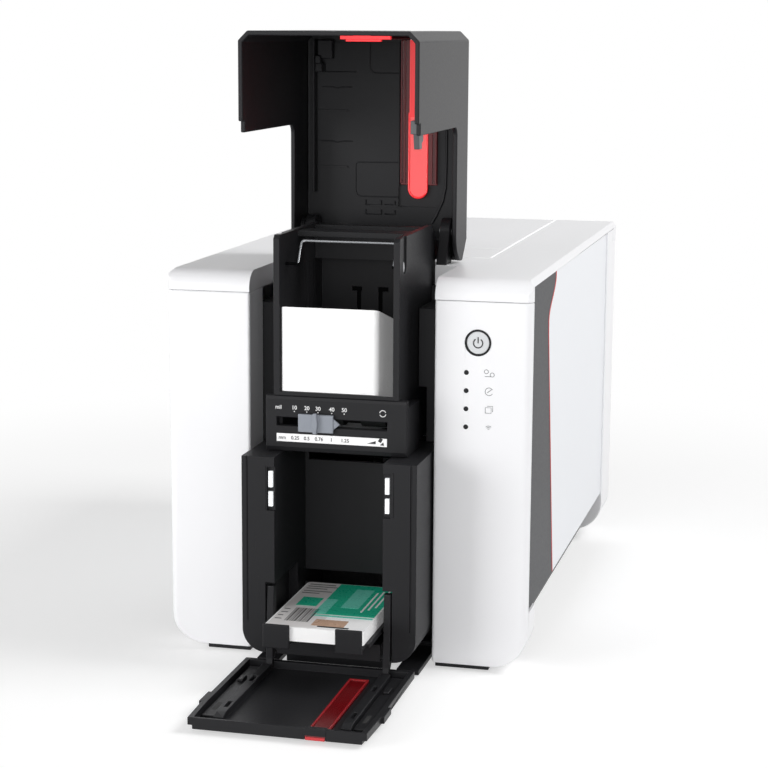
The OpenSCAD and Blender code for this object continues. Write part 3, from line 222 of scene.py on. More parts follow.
# Inks on the panels.
WHITE_INK = Finish("white_ink", "E6E6E6", 0.45, 1.5, 0.002, 12, 0.02)
BLACK_INK = Finish("black_ink", "222224", 0.45, 1.5, 0.002, 12, 0.02)
GREY_INK = Finish("grey_ink", "6A6B6E", 0.45, 1.5, 0.002, 12, 0.03)
BUTTON_ABS = Finish("button_abs", "D8DADC", 0.34, 3.0, 0.006, 20, 0.02)
SMOKED_ACRYLIC = Finish("smoked_acrylic", "3C3E42", 0.2, 2.0, 0.003, 12, 0.04, ior=1.49)
# Dye film, amber nylon spools, brown acetal gears, green laminate.
DYE_FILM = Finish("dye_film", "2A2633", 0.18, 3.0, 0.004, 12, 0.2)
AMBER_NYLON = Finish("amber_nylon", "B8912F", 0.4, 1.5, 0.01, 20, 0.05, ior=1.53)
BROWN_ACETAL = Finish("brown_acetal", "6B4C33", 0.42, 1.5, 0.01, 20, 0.06, ior=1.48)
GREEN_LAMINATE = Finish("green_laminate", "0E4A2A", 0.35, 1.2, 0.02, 8, 0.15)

BY_SLOT = {
    "white_shell": WHITE_ABS, "pale_panel": PALE_ABS, "stripe_grey": STRIPE_ABS, "trim_red": TRIM_RED,
    "black_plastic": BLACK_ABS, "dark_plastic": CHARCOAL_ABS, "light_pipe": MILKY_ACRYLIC,
    "red_clear": RED_POLYCARBONATE, "slider_grey": GREY_NYLON, "steel": PLAIN_STEEL, "bright_steel": BRIGHT_WIRE,
    "rubber": BLACK_RUBBER, "cleaning_blue": BLUE_SILICONE, "card_stock": GLOWING_CARD_PVC, "card_print": GLOWING_CARD_PVC,
    "ribbon_film": DYE_FILM, "spool_plastic": AMBER_NYLON, "gear_plastic": BROWN_ACETAL,
    "board_green": GREEN_LAMINATE, "button_grey": BUTTON_ABS,
}
BY_NODE = {"cover_catch": DARK_NYLON, "flap_window": DEEP_POLYCARBONATE}


def only(piece: bpy.types.Object) -> bpy.types.Object:
    """Makes a piece the only selected and active one."""
    bpy.ops.object.select_all(action="DESELECT")
    piece.select_set(True)
    bpy.context.view_layer.objects.active = piece
    return piece


def settle(piece: bpy.types.Object) -> None:
    """Moves a piece's place, turn and size into its mesh."""
    only(piece)
    bpy.ops.object.transform_apply(location=True, rotation=True, scale=True)


def bulk(piece: bpy.types.Object) -> tuple[float, float]:
    """Measures a piece's surface and volume, in m2 and m3."""
    mesh = piece.data
    mesh.calc_loop_triangles()
    corners = [[mesh.vertices[i].co for i in face.vertices] for face in mesh.loop_triangles]
    return sum(face.area for face in mesh.loop_triangles), sum(a.dot(b.cross(c)) for a, b, c in corners) / 6


def weigh_edges(piece: bpy.types.Object, sharp: float, least: float) -> None:
    """Gives a full bevel weight to sharp edges, except those of bores and pegs too small to round.

    Args:
        piece: the mesh object.
        sharp: the least angle between two faces that counts as sharp, in degrees.
        least: the least reach in mm of a group of joined edges that is rounded.
    """
    only(piece)
    bpy.ops.object.mode_set(mode="EDIT")
    bpy.ops.mesh.select_mode(type="EDGE")
    bpy.ops.mesh.select_all(action="DESELECT")
    bpy.ops.mesh.edges_select_sharp(sharpness=math.radians(sharp))
    bpy.ops.object.mode_set(mode="OBJECT")
    mesh = piece.data
    chosen = [edge for edge in mesh.edges if edge.select]
    group = list(range(len(mesh.vertices)))

    def root(i: int) -> int:
        """Follows a corner to the one that stands for its group."""
        while group[i] != i:
            group[i] = group[group[i]]
            i = group[i]
        return i

    for edge in chosen:
        first, second = (root(i) for i in edge.vertices)
        group[first] = second
    members: dict[int, list[Vector]] = {}
    for edge in chosen:
        members.setdefault(root(edge.vertices[0]), []).extend(mesh.vertices[i].co for i in edge.vertices)
    wide = {i for i, places in members.items()
            if max(max(p[k] for p in places) - min(p[k] for p in places) for k in range(3)) > least * MM}
    weights = mesh.attributes.new("bevel_weight_edge", "FLOAT", "EDGE")
    for edge in chosen:
        weights.data[edge.index].value = float(root(edge.vertices[0]) in wide)


def bevel(piece: bpy.types.Object, width: float, segments: int = 2, sharp: float = 32, least: float = 0.0) -> None:
    """Rounds a piece's sharp edges.

    Args:
        piece: the mesh object.
        width: the round's width in mm.
        segments: faces across the round.
        sharp: the least angle between two faces that counts as sharp, in degrees.
        least: the least reach in mm of a group of joined edges that is rounded.
    """
    weigh_edges(piece, sharp, least)
    only(piece)
    bpy.ops.object.shade_smooth_by_angle(angle=math.radians(sharp))
    rounding = piece.modifiers.new("round", "BEVEL")
    rounding.width = width * MM
    rounding.segments = segments
    rounding.limit_method = "WEIGHT"
    rounding.use_clamp_overlap = False
    rounding.face_strength_mode = "FSTR_ALL"
    split = piece.modifiers.new("split", "TRIANGULATE")
    split.min_vertices = 5
    split.ngon_method = "BEAUTY"
    flatten = piece.modifiers.new("flat", "WEIGHTED_NORMAL")
    flatten.keep_sharp = True
    flatten.use_face_influence = True
    only(piece)
    bpy.ops.object.convert(target="MESH")


def prism(points: list[Point], push: Point) -> bpy.types.Object:
    """Extrudes an outline of corners in mm by a push in mm."""
    bpy.ops.object.select_all(action="DESELECT")
    bpy.ops.mesh.primitive_circle_add(vertices=len(points), radius=1, fill_type="NGON")
    made = bpy.context.object
    for vertex, point in zip(made.data.vertices, points):
        vertex.co = at(*point)
    bpy.ops.object.mode_set(mode="EDIT")
    bpy.ops.mesh.select_all(action="SELECT")
    bpy.ops.mesh.extrude_region_move(TRANSFORM_OT_translate={"value": [v * MM for v in push]})
    bpy.ops.mesh.select_all(action="SELECT")
    bpy.ops.mesh.normals_make_consistent(inside=False)
    bpy.ops.object.mode_set(mode="OBJECT")
    return made


def combine(piece: bpy.types.Object, tool: bpy.types.Object, how: str) -> bpy.types.Object:
    """Joins a piece with another, cuts it or trims it by it, and uses that one up.

    Args:
        piece: the piece that is kept.
        tool: the other one.
        how: UNION, DIFFERENCE or INTERSECT.

    Returns:
        The same piece.
    """
    only(piece)
    solid = piece.modifiers.new("solid", "BOOLEAN")
    solid.operation = how
    solid.solver = "EXACT"
    solid.object = tool
    bpy.ops.object.modifier_apply(modifier=solid.name)
    bpy.data.objects.remove(tool)
    return piece


def fit_out(piece: bpy.types.Object, name: str, finish: Finish, body: str) -> bpy.types.Object:
    """Names a finished piece, gives it its material and puts it on its body.

    Args:
        piece: the mesh object, in place.
        name: the piece's name.
        finish: its material.
        body: the body it moves with.

    Returns:
        The same object.
    """
    piece.name = name
    piece.data.name = name
    piece.data.materials.clear()
    piece.data.materials.append(finish.material())
    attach(piece, body)
    LOG.info("%s rides on %s", name, body)
    return piece


@dataclass
class Trim:
    """Small pieces that share a body; each call gives its own finish."""

    body: str
    slot: str

    def block(self, name: str, finish: Finish, x: Span, y: Span, z: Span, soft: float = 0.25) -> bpy.types.Object:
        """Adds a moulded block between spans in mm, with soft edges."""
        middle = at(*[(a + b) / 2 for a, b in (x, y, z)])
        bpy.ops.mesh.primitive_cube_add(size=1, location=middle)
        made = bpy.context.object
        made.scale = [abs(b - a) * MM for a, b in (x, y, z)]
        settle(made)
        bevel(made, soft)
        return fit_out(made, name, finish, self.body)

    def profile(self, name: str, finish: Finish, points: list[Point], push: Point,
                soft: float = 0.2) -> bpy.types.Object:
        """Extrudes an outline.

        Args:
            name: the piece's name.
            finish: its material.
            points: the outline's corners in mm.
            push: how far the outline is extruded, in mm.
            soft: the width of the edges' rounds in mm.

        Returns:
            The new piece.
        """
        made = prism(points, push)
        if soft:
            bevel(made, soft)
        return fit_out(made, name, finish, self.body)

    def line(self, name: str, finish: Finish, paths: list[list[Point]], radius: float,
             closed: bool = False) -> bpy.types.Object:
        """Lays round beads or wires of one radius along paths in mm."""
        data = bpy.data.curves.new(name, "CURVE")
        data.dimensions = "3D"
        data.bevel_depth = radius * MM
        data.bevel_resolution = 2
        data.use_fill_caps = True
        for path in paths:
            spline = data.splines.new("POLY")
            spline.points.add(len(path) - 1)
            spline.use_cyclic_u = closed
            for point, place in zip(spline.points, path):
                point.co = (*at(*place), 1)
        made = bpy.data.objects.new(name, data)
        bpy.context.collection.objects.link(made)
        only(made)
        bpy.ops.object.convert(target="MESH")
        made = bpy.context.object
        bpy.ops.object.shade_smooth_by_angle(angle=math.radians(50))
        return fit_out(made, name, finish, self.body)

    def word(self, name: str, finish: Finish, text: str, place: Point, size: float, face: Face) -> bpy.types.Object:
        """Prints a generic mark such as a number, centred on a point in mm."""
        bpy.ops.object.text_add(location=at(*place), rotation=face.value)
        made = bpy.context.object
        made.data.body = text
        made.data.size = size * MM
        made.data.extrude = 0.03 * MM
        made.data.offset = 0.05 * MM
        made.data.align_x = "CENTER"
        made.data.align_y = "CENTER"
        bpy.ops.object.convert(target="MESH")
        made = bpy.context.object
        settle(made)
        return fit_out(made, name, finish, self.body)


def arc(x: float, y: float, z: float, radius: float, start: float, end: float, steps: int = 20) -> list[Point]:
    """Points of an arc that faces the front, in mm, with angles in degrees from +X towards +Z."""
    turns = [math.radians(start + (end - start) * i / steps) for i in range(steps + 1)]
    return [(x + radius * math.cos(t), y, z + radius * math.sin(t)) for t in turns]


def rear_slab() -> bpy.types.Object:
    """Models the rear of the body, which runs down and forward round the side panels' ends."""
    outline = [(REAR_HALF, 296, SKIN_TOP), *arc(REAR_HALF - 20, 296, 27.5, 20, 0, -90, 16),
               *arc(20 - REAR_HALF, 296, 27.5, 20, -90, -180, 16), (-REAR_HALF, 296, SKIN_TOP)]
    made = prism(outline, (0, 44, 0))
    plan = [(-REAR_HALF, 290, 0), (REAR_HALF, 290, 0)]
    for side, start in ((1, 0), (-1, 90)):
        plan += [(side * (REAR_HALF - 8) + 8 * math.cos(math.radians(start + 7.5 * i)),
                  332 + 8 * math.sin(math.radians(start + 7.5 * i)), 0) for i in range(13)]
    combine(made, prism(plan, (0, 0, 220)), "INTERSECT")
    inside = REAR_HALF - 1.4
    room = [(-inside, 290, 46), (inside, 290, 46), (inside, 290, 220), (-inside, 290, 220)]
    combine(made, prism(room, (0, 60, 0)), "DIFFERENCE")
    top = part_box("rear_housing")[1].z / MM
    over = [(-110, 319.6, top), (110, 319.6, top), (110, 319.6, 220), (-110, 319.6, 220)]
    return combine(made, prism(over, (0, 30, 0)), "DIFFERENCE")


def welded(node: str, merge: bool) -> bpy.types.Object:
    """Copies a rigid CAD node and joins its loose triangles, and its flat faces too if merge is set."""
    made = bpy.data.objects.new(node + "_moulding", frame["nodes"][node].data.copy())
    bpy.context.collection.objects.link(made)
    only(made)
    bpy.ops.object.mode_set(mode="EDIT")
    bpy.ops.mesh.select_all(action="SELECT")
    bpy.ops.mesh.remove_doubles(threshold=0.000002)
    if node == "rear_housing":
        bpy.ops.object.mode_set(mode="OBJECT")
        combine(made, rear_slab(), "UNION")
        only(made)
        bpy.ops.object.mode_set(mode="EDIT")
        bpy.ops.mesh.select_all(action="SELECT")
        bpy.ops.mesh.remove_doubles(threshold=0.00001)
    if merge:
        bpy.ops.mesh.dissolve_limited(angle_limit=math.radians(0.02))
    bpy.ops.object.mode_set(mode="OBJECT")
    return made


def soften(node: str, width: float) -> bpy.types.Object:
    """Gives a CAD node a copy whose sharp edges are rounded.

    A round that runs into its neighbour tears the faces, which shows in the copy's surface or volume,
    so narrower rounds are tried until both agree with the node's own.

    Args:
        node: the CAD node, which the copy replaces.
        width: the width of the rounds in mm.

    Returns:
        The copy, on the node's body.
    """
    plain = welded(node, False)
    area, volume = bulk(plain)
    bpy.data.objects.remove(plain)
    for merge, share in ((True, 1.0), (True, 0.6), (False, 0.6), (True, 0.3), (False, 0.3), (False, 0.12)):
        if merge and node in Carcass.GROOVED:
            continue
        made = welded(node, merge)
        bevel(made, width * share, least=Carcass.BORES.get(node, 6))
        new_area, new_volume = bulk(made)
        if 0.93 < new_area / area < 1.0005 and abs(new_volume / volume - 1) < 0.025:
            break
        bpy.data.objects.remove(made)
    else:
        made = welded(node, False)
        bpy.ops.object.shade_smooth_by_angle(angle=math.radians(32))
    LOG.info("%s: rounds %s x %.2f, surface %.4f, volume %.4f", node, merge, share, new_area / area, new_volume / volume)
    fit_out(made, made.name, finish_of(node), BODY_OF[node])
    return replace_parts(made, node)


def finish_of(node: str) -> Finish:
    """The finish of a CAD node: its own, or its slot's."""
    return BY_NODE.get(node, BY_SLOT[SLOT_OF[node]])


class Carcass:
    """The moulded shells, which come from the CAD with their edges rounded as a mould leaves them."""

    ROUNDS = {
        "front_panel_left": 0.8, "front_panel_right": 0.8, "top_frame": 0.6, "top_deck": 0.5, "top_lid": 1.0,
        "rear_housing": 0.8, "recess_panel": 0.4, "output_hopper": 0.4, "feeder_housing": 0.5,
        "gauge_panel": 0.5, "gauge_slider": 0.4, "cover_shell": 0.6, "cover_catch": 0.4, "cover_brackets": 0.5,
        "flap_shell": 0.3, "flap_arms": 0.5, "card_tray": 0.5, "base_tray": 0.6, "head_carrier": 0.5,
    }
    BORES = {"front_panel_right": 18, "rear_housing": 60}
    GROOVED = ("feeder_housing",)

    def build(self) -> None:
        """Softens the shells and gives every node that stays its material."""
        for node, width in self.ROUNDS.items():
            soften(node, width)
        for node, piece in frame["nodes"].items():
            if node not in self.ROUNDS:
                piece.data.materials.clear()
                piece.data.materials.append(finish_of(node).material())
                for polygon in piece.data.polygons:
                    polygon.material_index = 0
        self.details()

    def details(self) -> None:
        """Adds the raised red lines of the sides, beads with a painted highlight along the top's seams, grey lines of
        painted shade in the side grooves and the dark plinths under the white fronts.
        """
        ramp = [(60.1 + 23.5 * (1 - math.cos(math.pi * t / 8)) / 2, 187 + 23 * t / 8) for t in range(9)]
        border = [(91.0, 34.3), (60.6, 179.0), *ramp, (83.5, 212.8)]
        line = Trim("printer", "trim_red")
        for side, name in ((-1, "left"), (1, "right")):
            line.line(f"side_bead_{name}", TRIM_RED, [[(side * 101.2, y, z) for y, z in border]], 0.4)
        # Beads along the top's seams, whose glow is a painted highlight.
        seams = Trim("printer", "white_shell")
        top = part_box("top_frame")[1].z / MM - 0.12
        seams.line("seam_highlight_lid_right", HIGHLIGHT_ABS, [[(59.95, 99.6, top), (59.95, 338.5, top)]], 0.5)
        seams.line("seam_highlight_deck", HIGHLIGHT_ABS, [[(-59.0, 149.6, top), (59.0, 149.6, top)]], 0.28)
        seams.line("seam_highlight_front", HIGHLIGHT_ABS, [[(33.0, 99.2, top), (59.6, 99.2, top)]], 0.35)
        # Grey lines in the grooves under the top's side chamfers: painted shade.
        groove_shade = Trim("printer", "stripe_grey")
        for side, name in ((-1, "left"), (1, "right")):
            groove_shade.line(f"seam_shade_side_{name}", GREY_INK, [[(side * 101.35, 84, 212.85), (side * 101.35, 318, 212.85)]], 0.2)
        plinth = Trim("printer", "black_plastic")
        plinth.block("plinth_left", BLACK_ABS, (-81.0, -56.0), (2.5, 24.0), (0.3, 3.3), 0.3)
        plinth.block("plinth_right", BLACK_ABS, (51.0, 81.0), (2.5, 24.0), (0.3, 3.3), 0.3)


@dataclass
class Feeder:
    """The sprung bail over the cards and the openings in the feeder's back wall."""

    pivot: Point = (24.6, -8.0, 222.5)
    cross: Span = (-0.01, 234.36)
    reach: Span = (24.6, 28.6)
    wire: float = 0.78
    bend: float = 2.4
    wall_x: float = 33.6
    back_y: float = 65.55

    def bail(self) -> None:
        """Bends the bail from one wire, with dark sleeves round its pivots."""
        y, z = self.pivot[1:]
        up = (self.cross[0] - y, self.cross[1] - z)
        share = self.bend / math.hypot(*up)
        path = []
        for side, x in zip((-1, 1), self.reach):
            arm = [(side * (x - 0.1), y, z), (side * x, y + 0.5 * up[0], z + 0.5 * up[1])]
            for turn in range(6):
                t = math.radians(18 * turn)
                drop = share * (1 - math.sin(t))
                arm.append((side * (x - self.bend * (1 - math.cos(t))), self.cross[0] - drop * up[0],
                            self.cross[1] - drop * up[1]))
            path += arm if side < 0 else arm[::-1]
        trim = Trim("bail", "bright_steel")
        wire = trim.line("bail_wire", BRIGHT_WIRE, [path], self.wire)
        sleeves = trim.line("bail_sleeves", SHADE_BLACK, [[(side * (x - 1.0), y, z), (side * (self.wall_x - 0.7), y, z)]
                                                         for side, x in zip((-1, 1), self.reach)], 0.86)
        caps = trim.line("bail_washers", DULL_ZINC, [[(side * (self.wall_x - 0.45), y, z), (side * (self.wall_x + 0.1), y, z)]
                                                       for side in (-1, 1)], 3.1)
        for piece in (wire, sleeves, caps):
            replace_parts(piece, "wire_bail")

    def build(self) -> None:
        """Builds the bail and lays painted shade in the openings."""
        self.bail()
        trim = Trim("printer", "black_plastic")
        for i, (bar, stem) in enumerate(((-10.5, -9.3), (5.0, 3.4))):
            trim.block(f"back_slot_shade_{i}", SHADE_BLACK, (bar - 2.85, bar + 2.85), (self.back_y, self.back_y + 0.2),
                       (199.45, 201.75), 0.02)
            trim.block(f"back_stem_shade_{i}", SHADE_BLACK, (stem - 1.15, stem + 1.15), (self.back_y, self.back_y + 0.2),
                       (184.1, 199.45), 0.02)


@dataclass
class Controls:
    """The power button, its lights and the plain marks beside them."""

    x: float = 73.1
    z: float = 182.6
    icon_x: float = 79.5
    light_top: float = 166.3
    light_step: float = 9.9

    def build(self) -> None:
        """Adds the button's symbol and four generic marks."""
        trim = Trim("button", "button_grey")
        face_y = 0.12
        trim.line("power_symbol_arc", BLACK_INK, [arc(self.x, face_y, self.z - 0.2, 2.5, 125, 415)], 0.32)
        trim.line("power_symbol_bar", BLACK_INK, [[(self.x, face_y, self.z - 0.2), (self.x, face_y, self.z + 3.1)]], 0.32)
        marks = Trim("printer", "stripe_grey")
        x, y = self.icon_x, 0.0
        rows = [self.light_top - i * self.light_step for i in range(4)]
        marks.line("mark_ribbon", GREY_INK, [arc(x + 1.6, y, rows[0] - 0.7, 1.1, 0, 360), arc(x - 1.6, y, rows[0] + 0.9, 1.1, 0, 360),
                                             [(x - 2.4, y, rows[0] - 1.7), (x + 1.2, y, rows[0] - 1.7)]], 0.16)
        marks.line("mark_cleaning", GREY_INK, [arc(x, y, rows[1], 2.1, 30, 330),
                                               [(x - 1, y, rows[1] - 0.6), (x + 1.4, y, rows[1] + 1.2)]], 0.16)
        marks.line("mark_cards", GREY_INK, [[(x - 1.9, y, rows[2] - 1.8), (x + 1.3, y, rows[2] - 1.8), (x + 1.3, y, rows[2] + 1.2),
                                             (x - 1.9, y, rows[2] + 1.2), (x - 1.9, y, rows[2] - 1.8)],
                                            [(x - 0.9, y, rows[2] + 2), (x + 2.1, y, rows[2] + 2), (x + 2.1, y, rows[2] - 1)]], 0.16)
        for i, radius in enumerate((0.7, 1.5, 2.3)):
            marks.line(f"mark_wireless_{i}", GREY_INK, [arc(x, y, rows[3] - 1.2, radius, 50, 130, 10)], 0.16)


@dataclass
class Gauge:
    """The thickness gauge: printed numbers over the slot and on the white strip under it."""

    y: float = -20.03
    upper: float = 146.1
    lower: float = 129.5

    def build(self) -> None:
        """Prints the numbers, their dots and the marks beside them."""
        trim = Trim("printer", "card_stock")
        tops = {"mil": -32.0, "10": -23.1, "20": -16.1, "30": -9.9, "40": -2.2, "50": 4.7}
        for text, x in tops.items():
            trim.word(f"gauge_top_{text}", WHITE_INK, text, (x, self.y, self.upper), 3.0, Face.FRONT)
            if text != "mil":
                trim.block(f"gauge_dot_{text}", WHITE_INK, (x - 0.3, x + 0.3), (self.y - 0.02, self.y + 0.05),
                           (self.upper - 2.3, self.upper - 1.7), 0.01)
        trim.line("gauge_reload_mark", WHITE_INK,
                  [arc(26, self.y, 145.4, 1.7, 20, 170), arc(26, self.y, 145.4, 1.7, 200, 350)], 0.25)
        strip = self.y - 0.2
        base = {"mm": -29.9, "0.25": -22.6, "0.5": -16.1, "0.76": -9.3, "1": -2.4, "1.25": 5.2}
        for text, x in base.items():
            trim.word("gauge_low_" + text.replace(".", "_"), BLACK_INK, text, (x, strip, self.lower), 2.7, Face.FRONT)
        trim.profile("gauge_wedge", BLACK_INK, [(17.4, strip, 128.7), (22.2, strip, 128.7), (22.2, strip, 130.3)],
                     (0, -0.05, 0), 0)
        trim.profile("gauge_card_mark", BLACK_INK, [(23.4, strip, 130.3), (25.0, strip, 129.4), (26.2, strip, 131.4),
                                                    (24.6, strip, 132.2)], (0, -0.05, 0), 0)
        trim.profile("gauge_drop_mark", BLACK_INK, [(24.6, strip, 128.2), (26.8, strip, 128.0), (26.4, strip, 129.9)],
                     (0, -0.05, 0), 0)


@dataclass
class CardPile:
    """The blank cards in the feeder and the printed cards on the tray, each a pile of single cards."""

    length: float = 85.6
    width: float = 53.98
    corner: float = 3.18
    thick: float = 0.76
    tilt: float = 15.0

    def sheet(self, name: str, x: float, y: float, z: float, run: float) -> bpy.types.Object:
        """Adds one flat card with round corners, its near left corner at a point in mm."""
        bpy.ops.object.select_all(action="DESELECT")
        bpy.ops.mesh.primitive_plane_add(size=1, location=at(x + self.width / 2, y + run / 2, z))
        made = bpy.context.object
        made.scale = (self.width * MM, run * MM, 1)
        settle(made)
        bpy.ops.object.mode_set(mode="EDIT")
        bpy.ops.mesh.select_all(action="SELECT")
        bpy.ops.mesh.bevel(offset=self.corner * MM, segments=5, affect="VERTICES")
        bpy.ops.mesh.select_all(action="SELECT")
        bpy.ops.mesh.extrude_region_move(TRANSFORM_OT_translate={"value": (0, 0, self.thick * 0.94 * MM)})
        bpy.ops.mesh.select_all(action="SELECT")
        bpy.ops.mesh.normals_make_consistent(inside=False)
        bpy.ops.object.mode_set(mode="OBJECT")
        made.name = name
        return made

    def repeat(self, piece: bpy.types.Object, count: int, step: float) -> None:
        """Stacks copies of a card upwards, a step in mm apart."""
        only(piece)
        rows = piece.modifiers.new("pile", "ARRAY")
        rows.count = count
        rows.use_relative_offset = False
        rows.use_constant_offset = True
        rows.constant_offset_displace = (0, 0, step * MM)
        bpy.ops.object.modifier_apply(modifier=rows.name)
        bpy.ops.object.shade_smooth_by_angle(angle=math.radians(30))

    def blank(self) -> None:
        """Builds the sloping pile of blank cards."""
        low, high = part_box("blank_cards")
        slope = math.tan(math.radians(self.tilt))
        run = self.length * math.cos(math.radians(self.tilt))
        card = self.sheet("blank_card_pile", -30.8, -20.0, 155.2, run)
        front = at(0, -20, 0).y
        for vertex in card.data.vertices:
            vertex.co.z -= (vertex.co.y - front) * slope
        step = self.thick / math.cos(math.radians(self.tilt))
        self.repeat(card, int(46.2 / step), step)
        fit_out(card, card.name, GLOWING_CARD_PVC, "card_pile")
        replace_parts(card, "blank_cards")

    def printed(self) -> None:
        """Builds the flat pile on the tray and the print on its top card."""
        left, front, low = -self.width / 2, -65.0, 30.1
        card = self.sheet("printed_card_pile", left, front, low, self.length)
        self.repeat(card, 10, self.thick)
        fit_out(card, card.name, GLOWING_CARD_PVC, "output_tray")
        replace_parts(card, "printed_cards")
        top = low + 10 * self.thick - 0.05
        print_on = Trim("output_tray", "card_print")

        def patch(name: str, finish: Finish, x: Span, y: Span, lift: float = 0.0) -> None:
            """Lays a printed patch on the top card."""
            print_on.block(name, finish, x, y, (top + lift, top + lift + 0.06), 0.0005)

        patch("print_ground", CARD_GREY, (left + 0.8, 1.5), (front + 1.2, 20.0))
        patch("print_green", CARD_GREEN, (-7.5, 26.2), (-38.0, 20.0), 0.05)
        patch("print_mint", CARD_MINT, (4.0, 14.0), (-24.0, 12.0), 0.1)
        patch("print_band", CARD_MINT, (-7.5, 26.2), (-42.0, -39.6), 0.05)
        patch("print_pale", CARD_MINT, (-7.5, -1.0), (-37.0, -10.0), 0.1)
        patch("print_label", CARD_GREEN, (-21.0, -9.6), (-25.0, -9.0), 0.1)
        patch("print_field", CARD_WARM, (-3.0, 15.0), (-59.0, -47.5), 0.02)
        patch("print_frame", CARD_INK, (1.0, 18.0), (-61.0, -59.0), 0.04)
        widths = (0.5, 1.1, 0.5, 0.8, 1.4, 0.5, 1.1, 0.6, 0.5, 1.2)
        x = -19.0
        for i, w in enumerate(widths):
            patch(f"print_bar_{i}", CARD_INK, (x, x + w * 0.8), (-54.0, -30.0), 0.1)
            x += w + 0.55
        for i, (y, length) in enumerate([(16, 15), (12, 17), (8, 12), (3, 16), (-1, 10)]):
            patch(f"print_line_{i}", CARD_INK, (-24.5, -24.5 + length), (y - 0.5, y + 0.5), 0.1)
        for i, (y, length) in enumerate([(-33, 3.2), (-39, 3.8), (-45, 2.8), (-51, 3.6)]):
            patch(f"print_note_{i}", CARD_INK, (-25.0, -25.0 + length), (y - 0.5, y + 0.5), 0.1)
        for i in range(3):
            patch(f"print_rule_{i}", GLOWING_CARD_PVC, (16.5 + i * 2.8, 17.5 + i * 2.8), (-30.0 + i * 5, 8.0 + i * 3), 0.12)

    def build(self) -> None:
        """Builds both piles."""
        self.blank()
        self.printed()


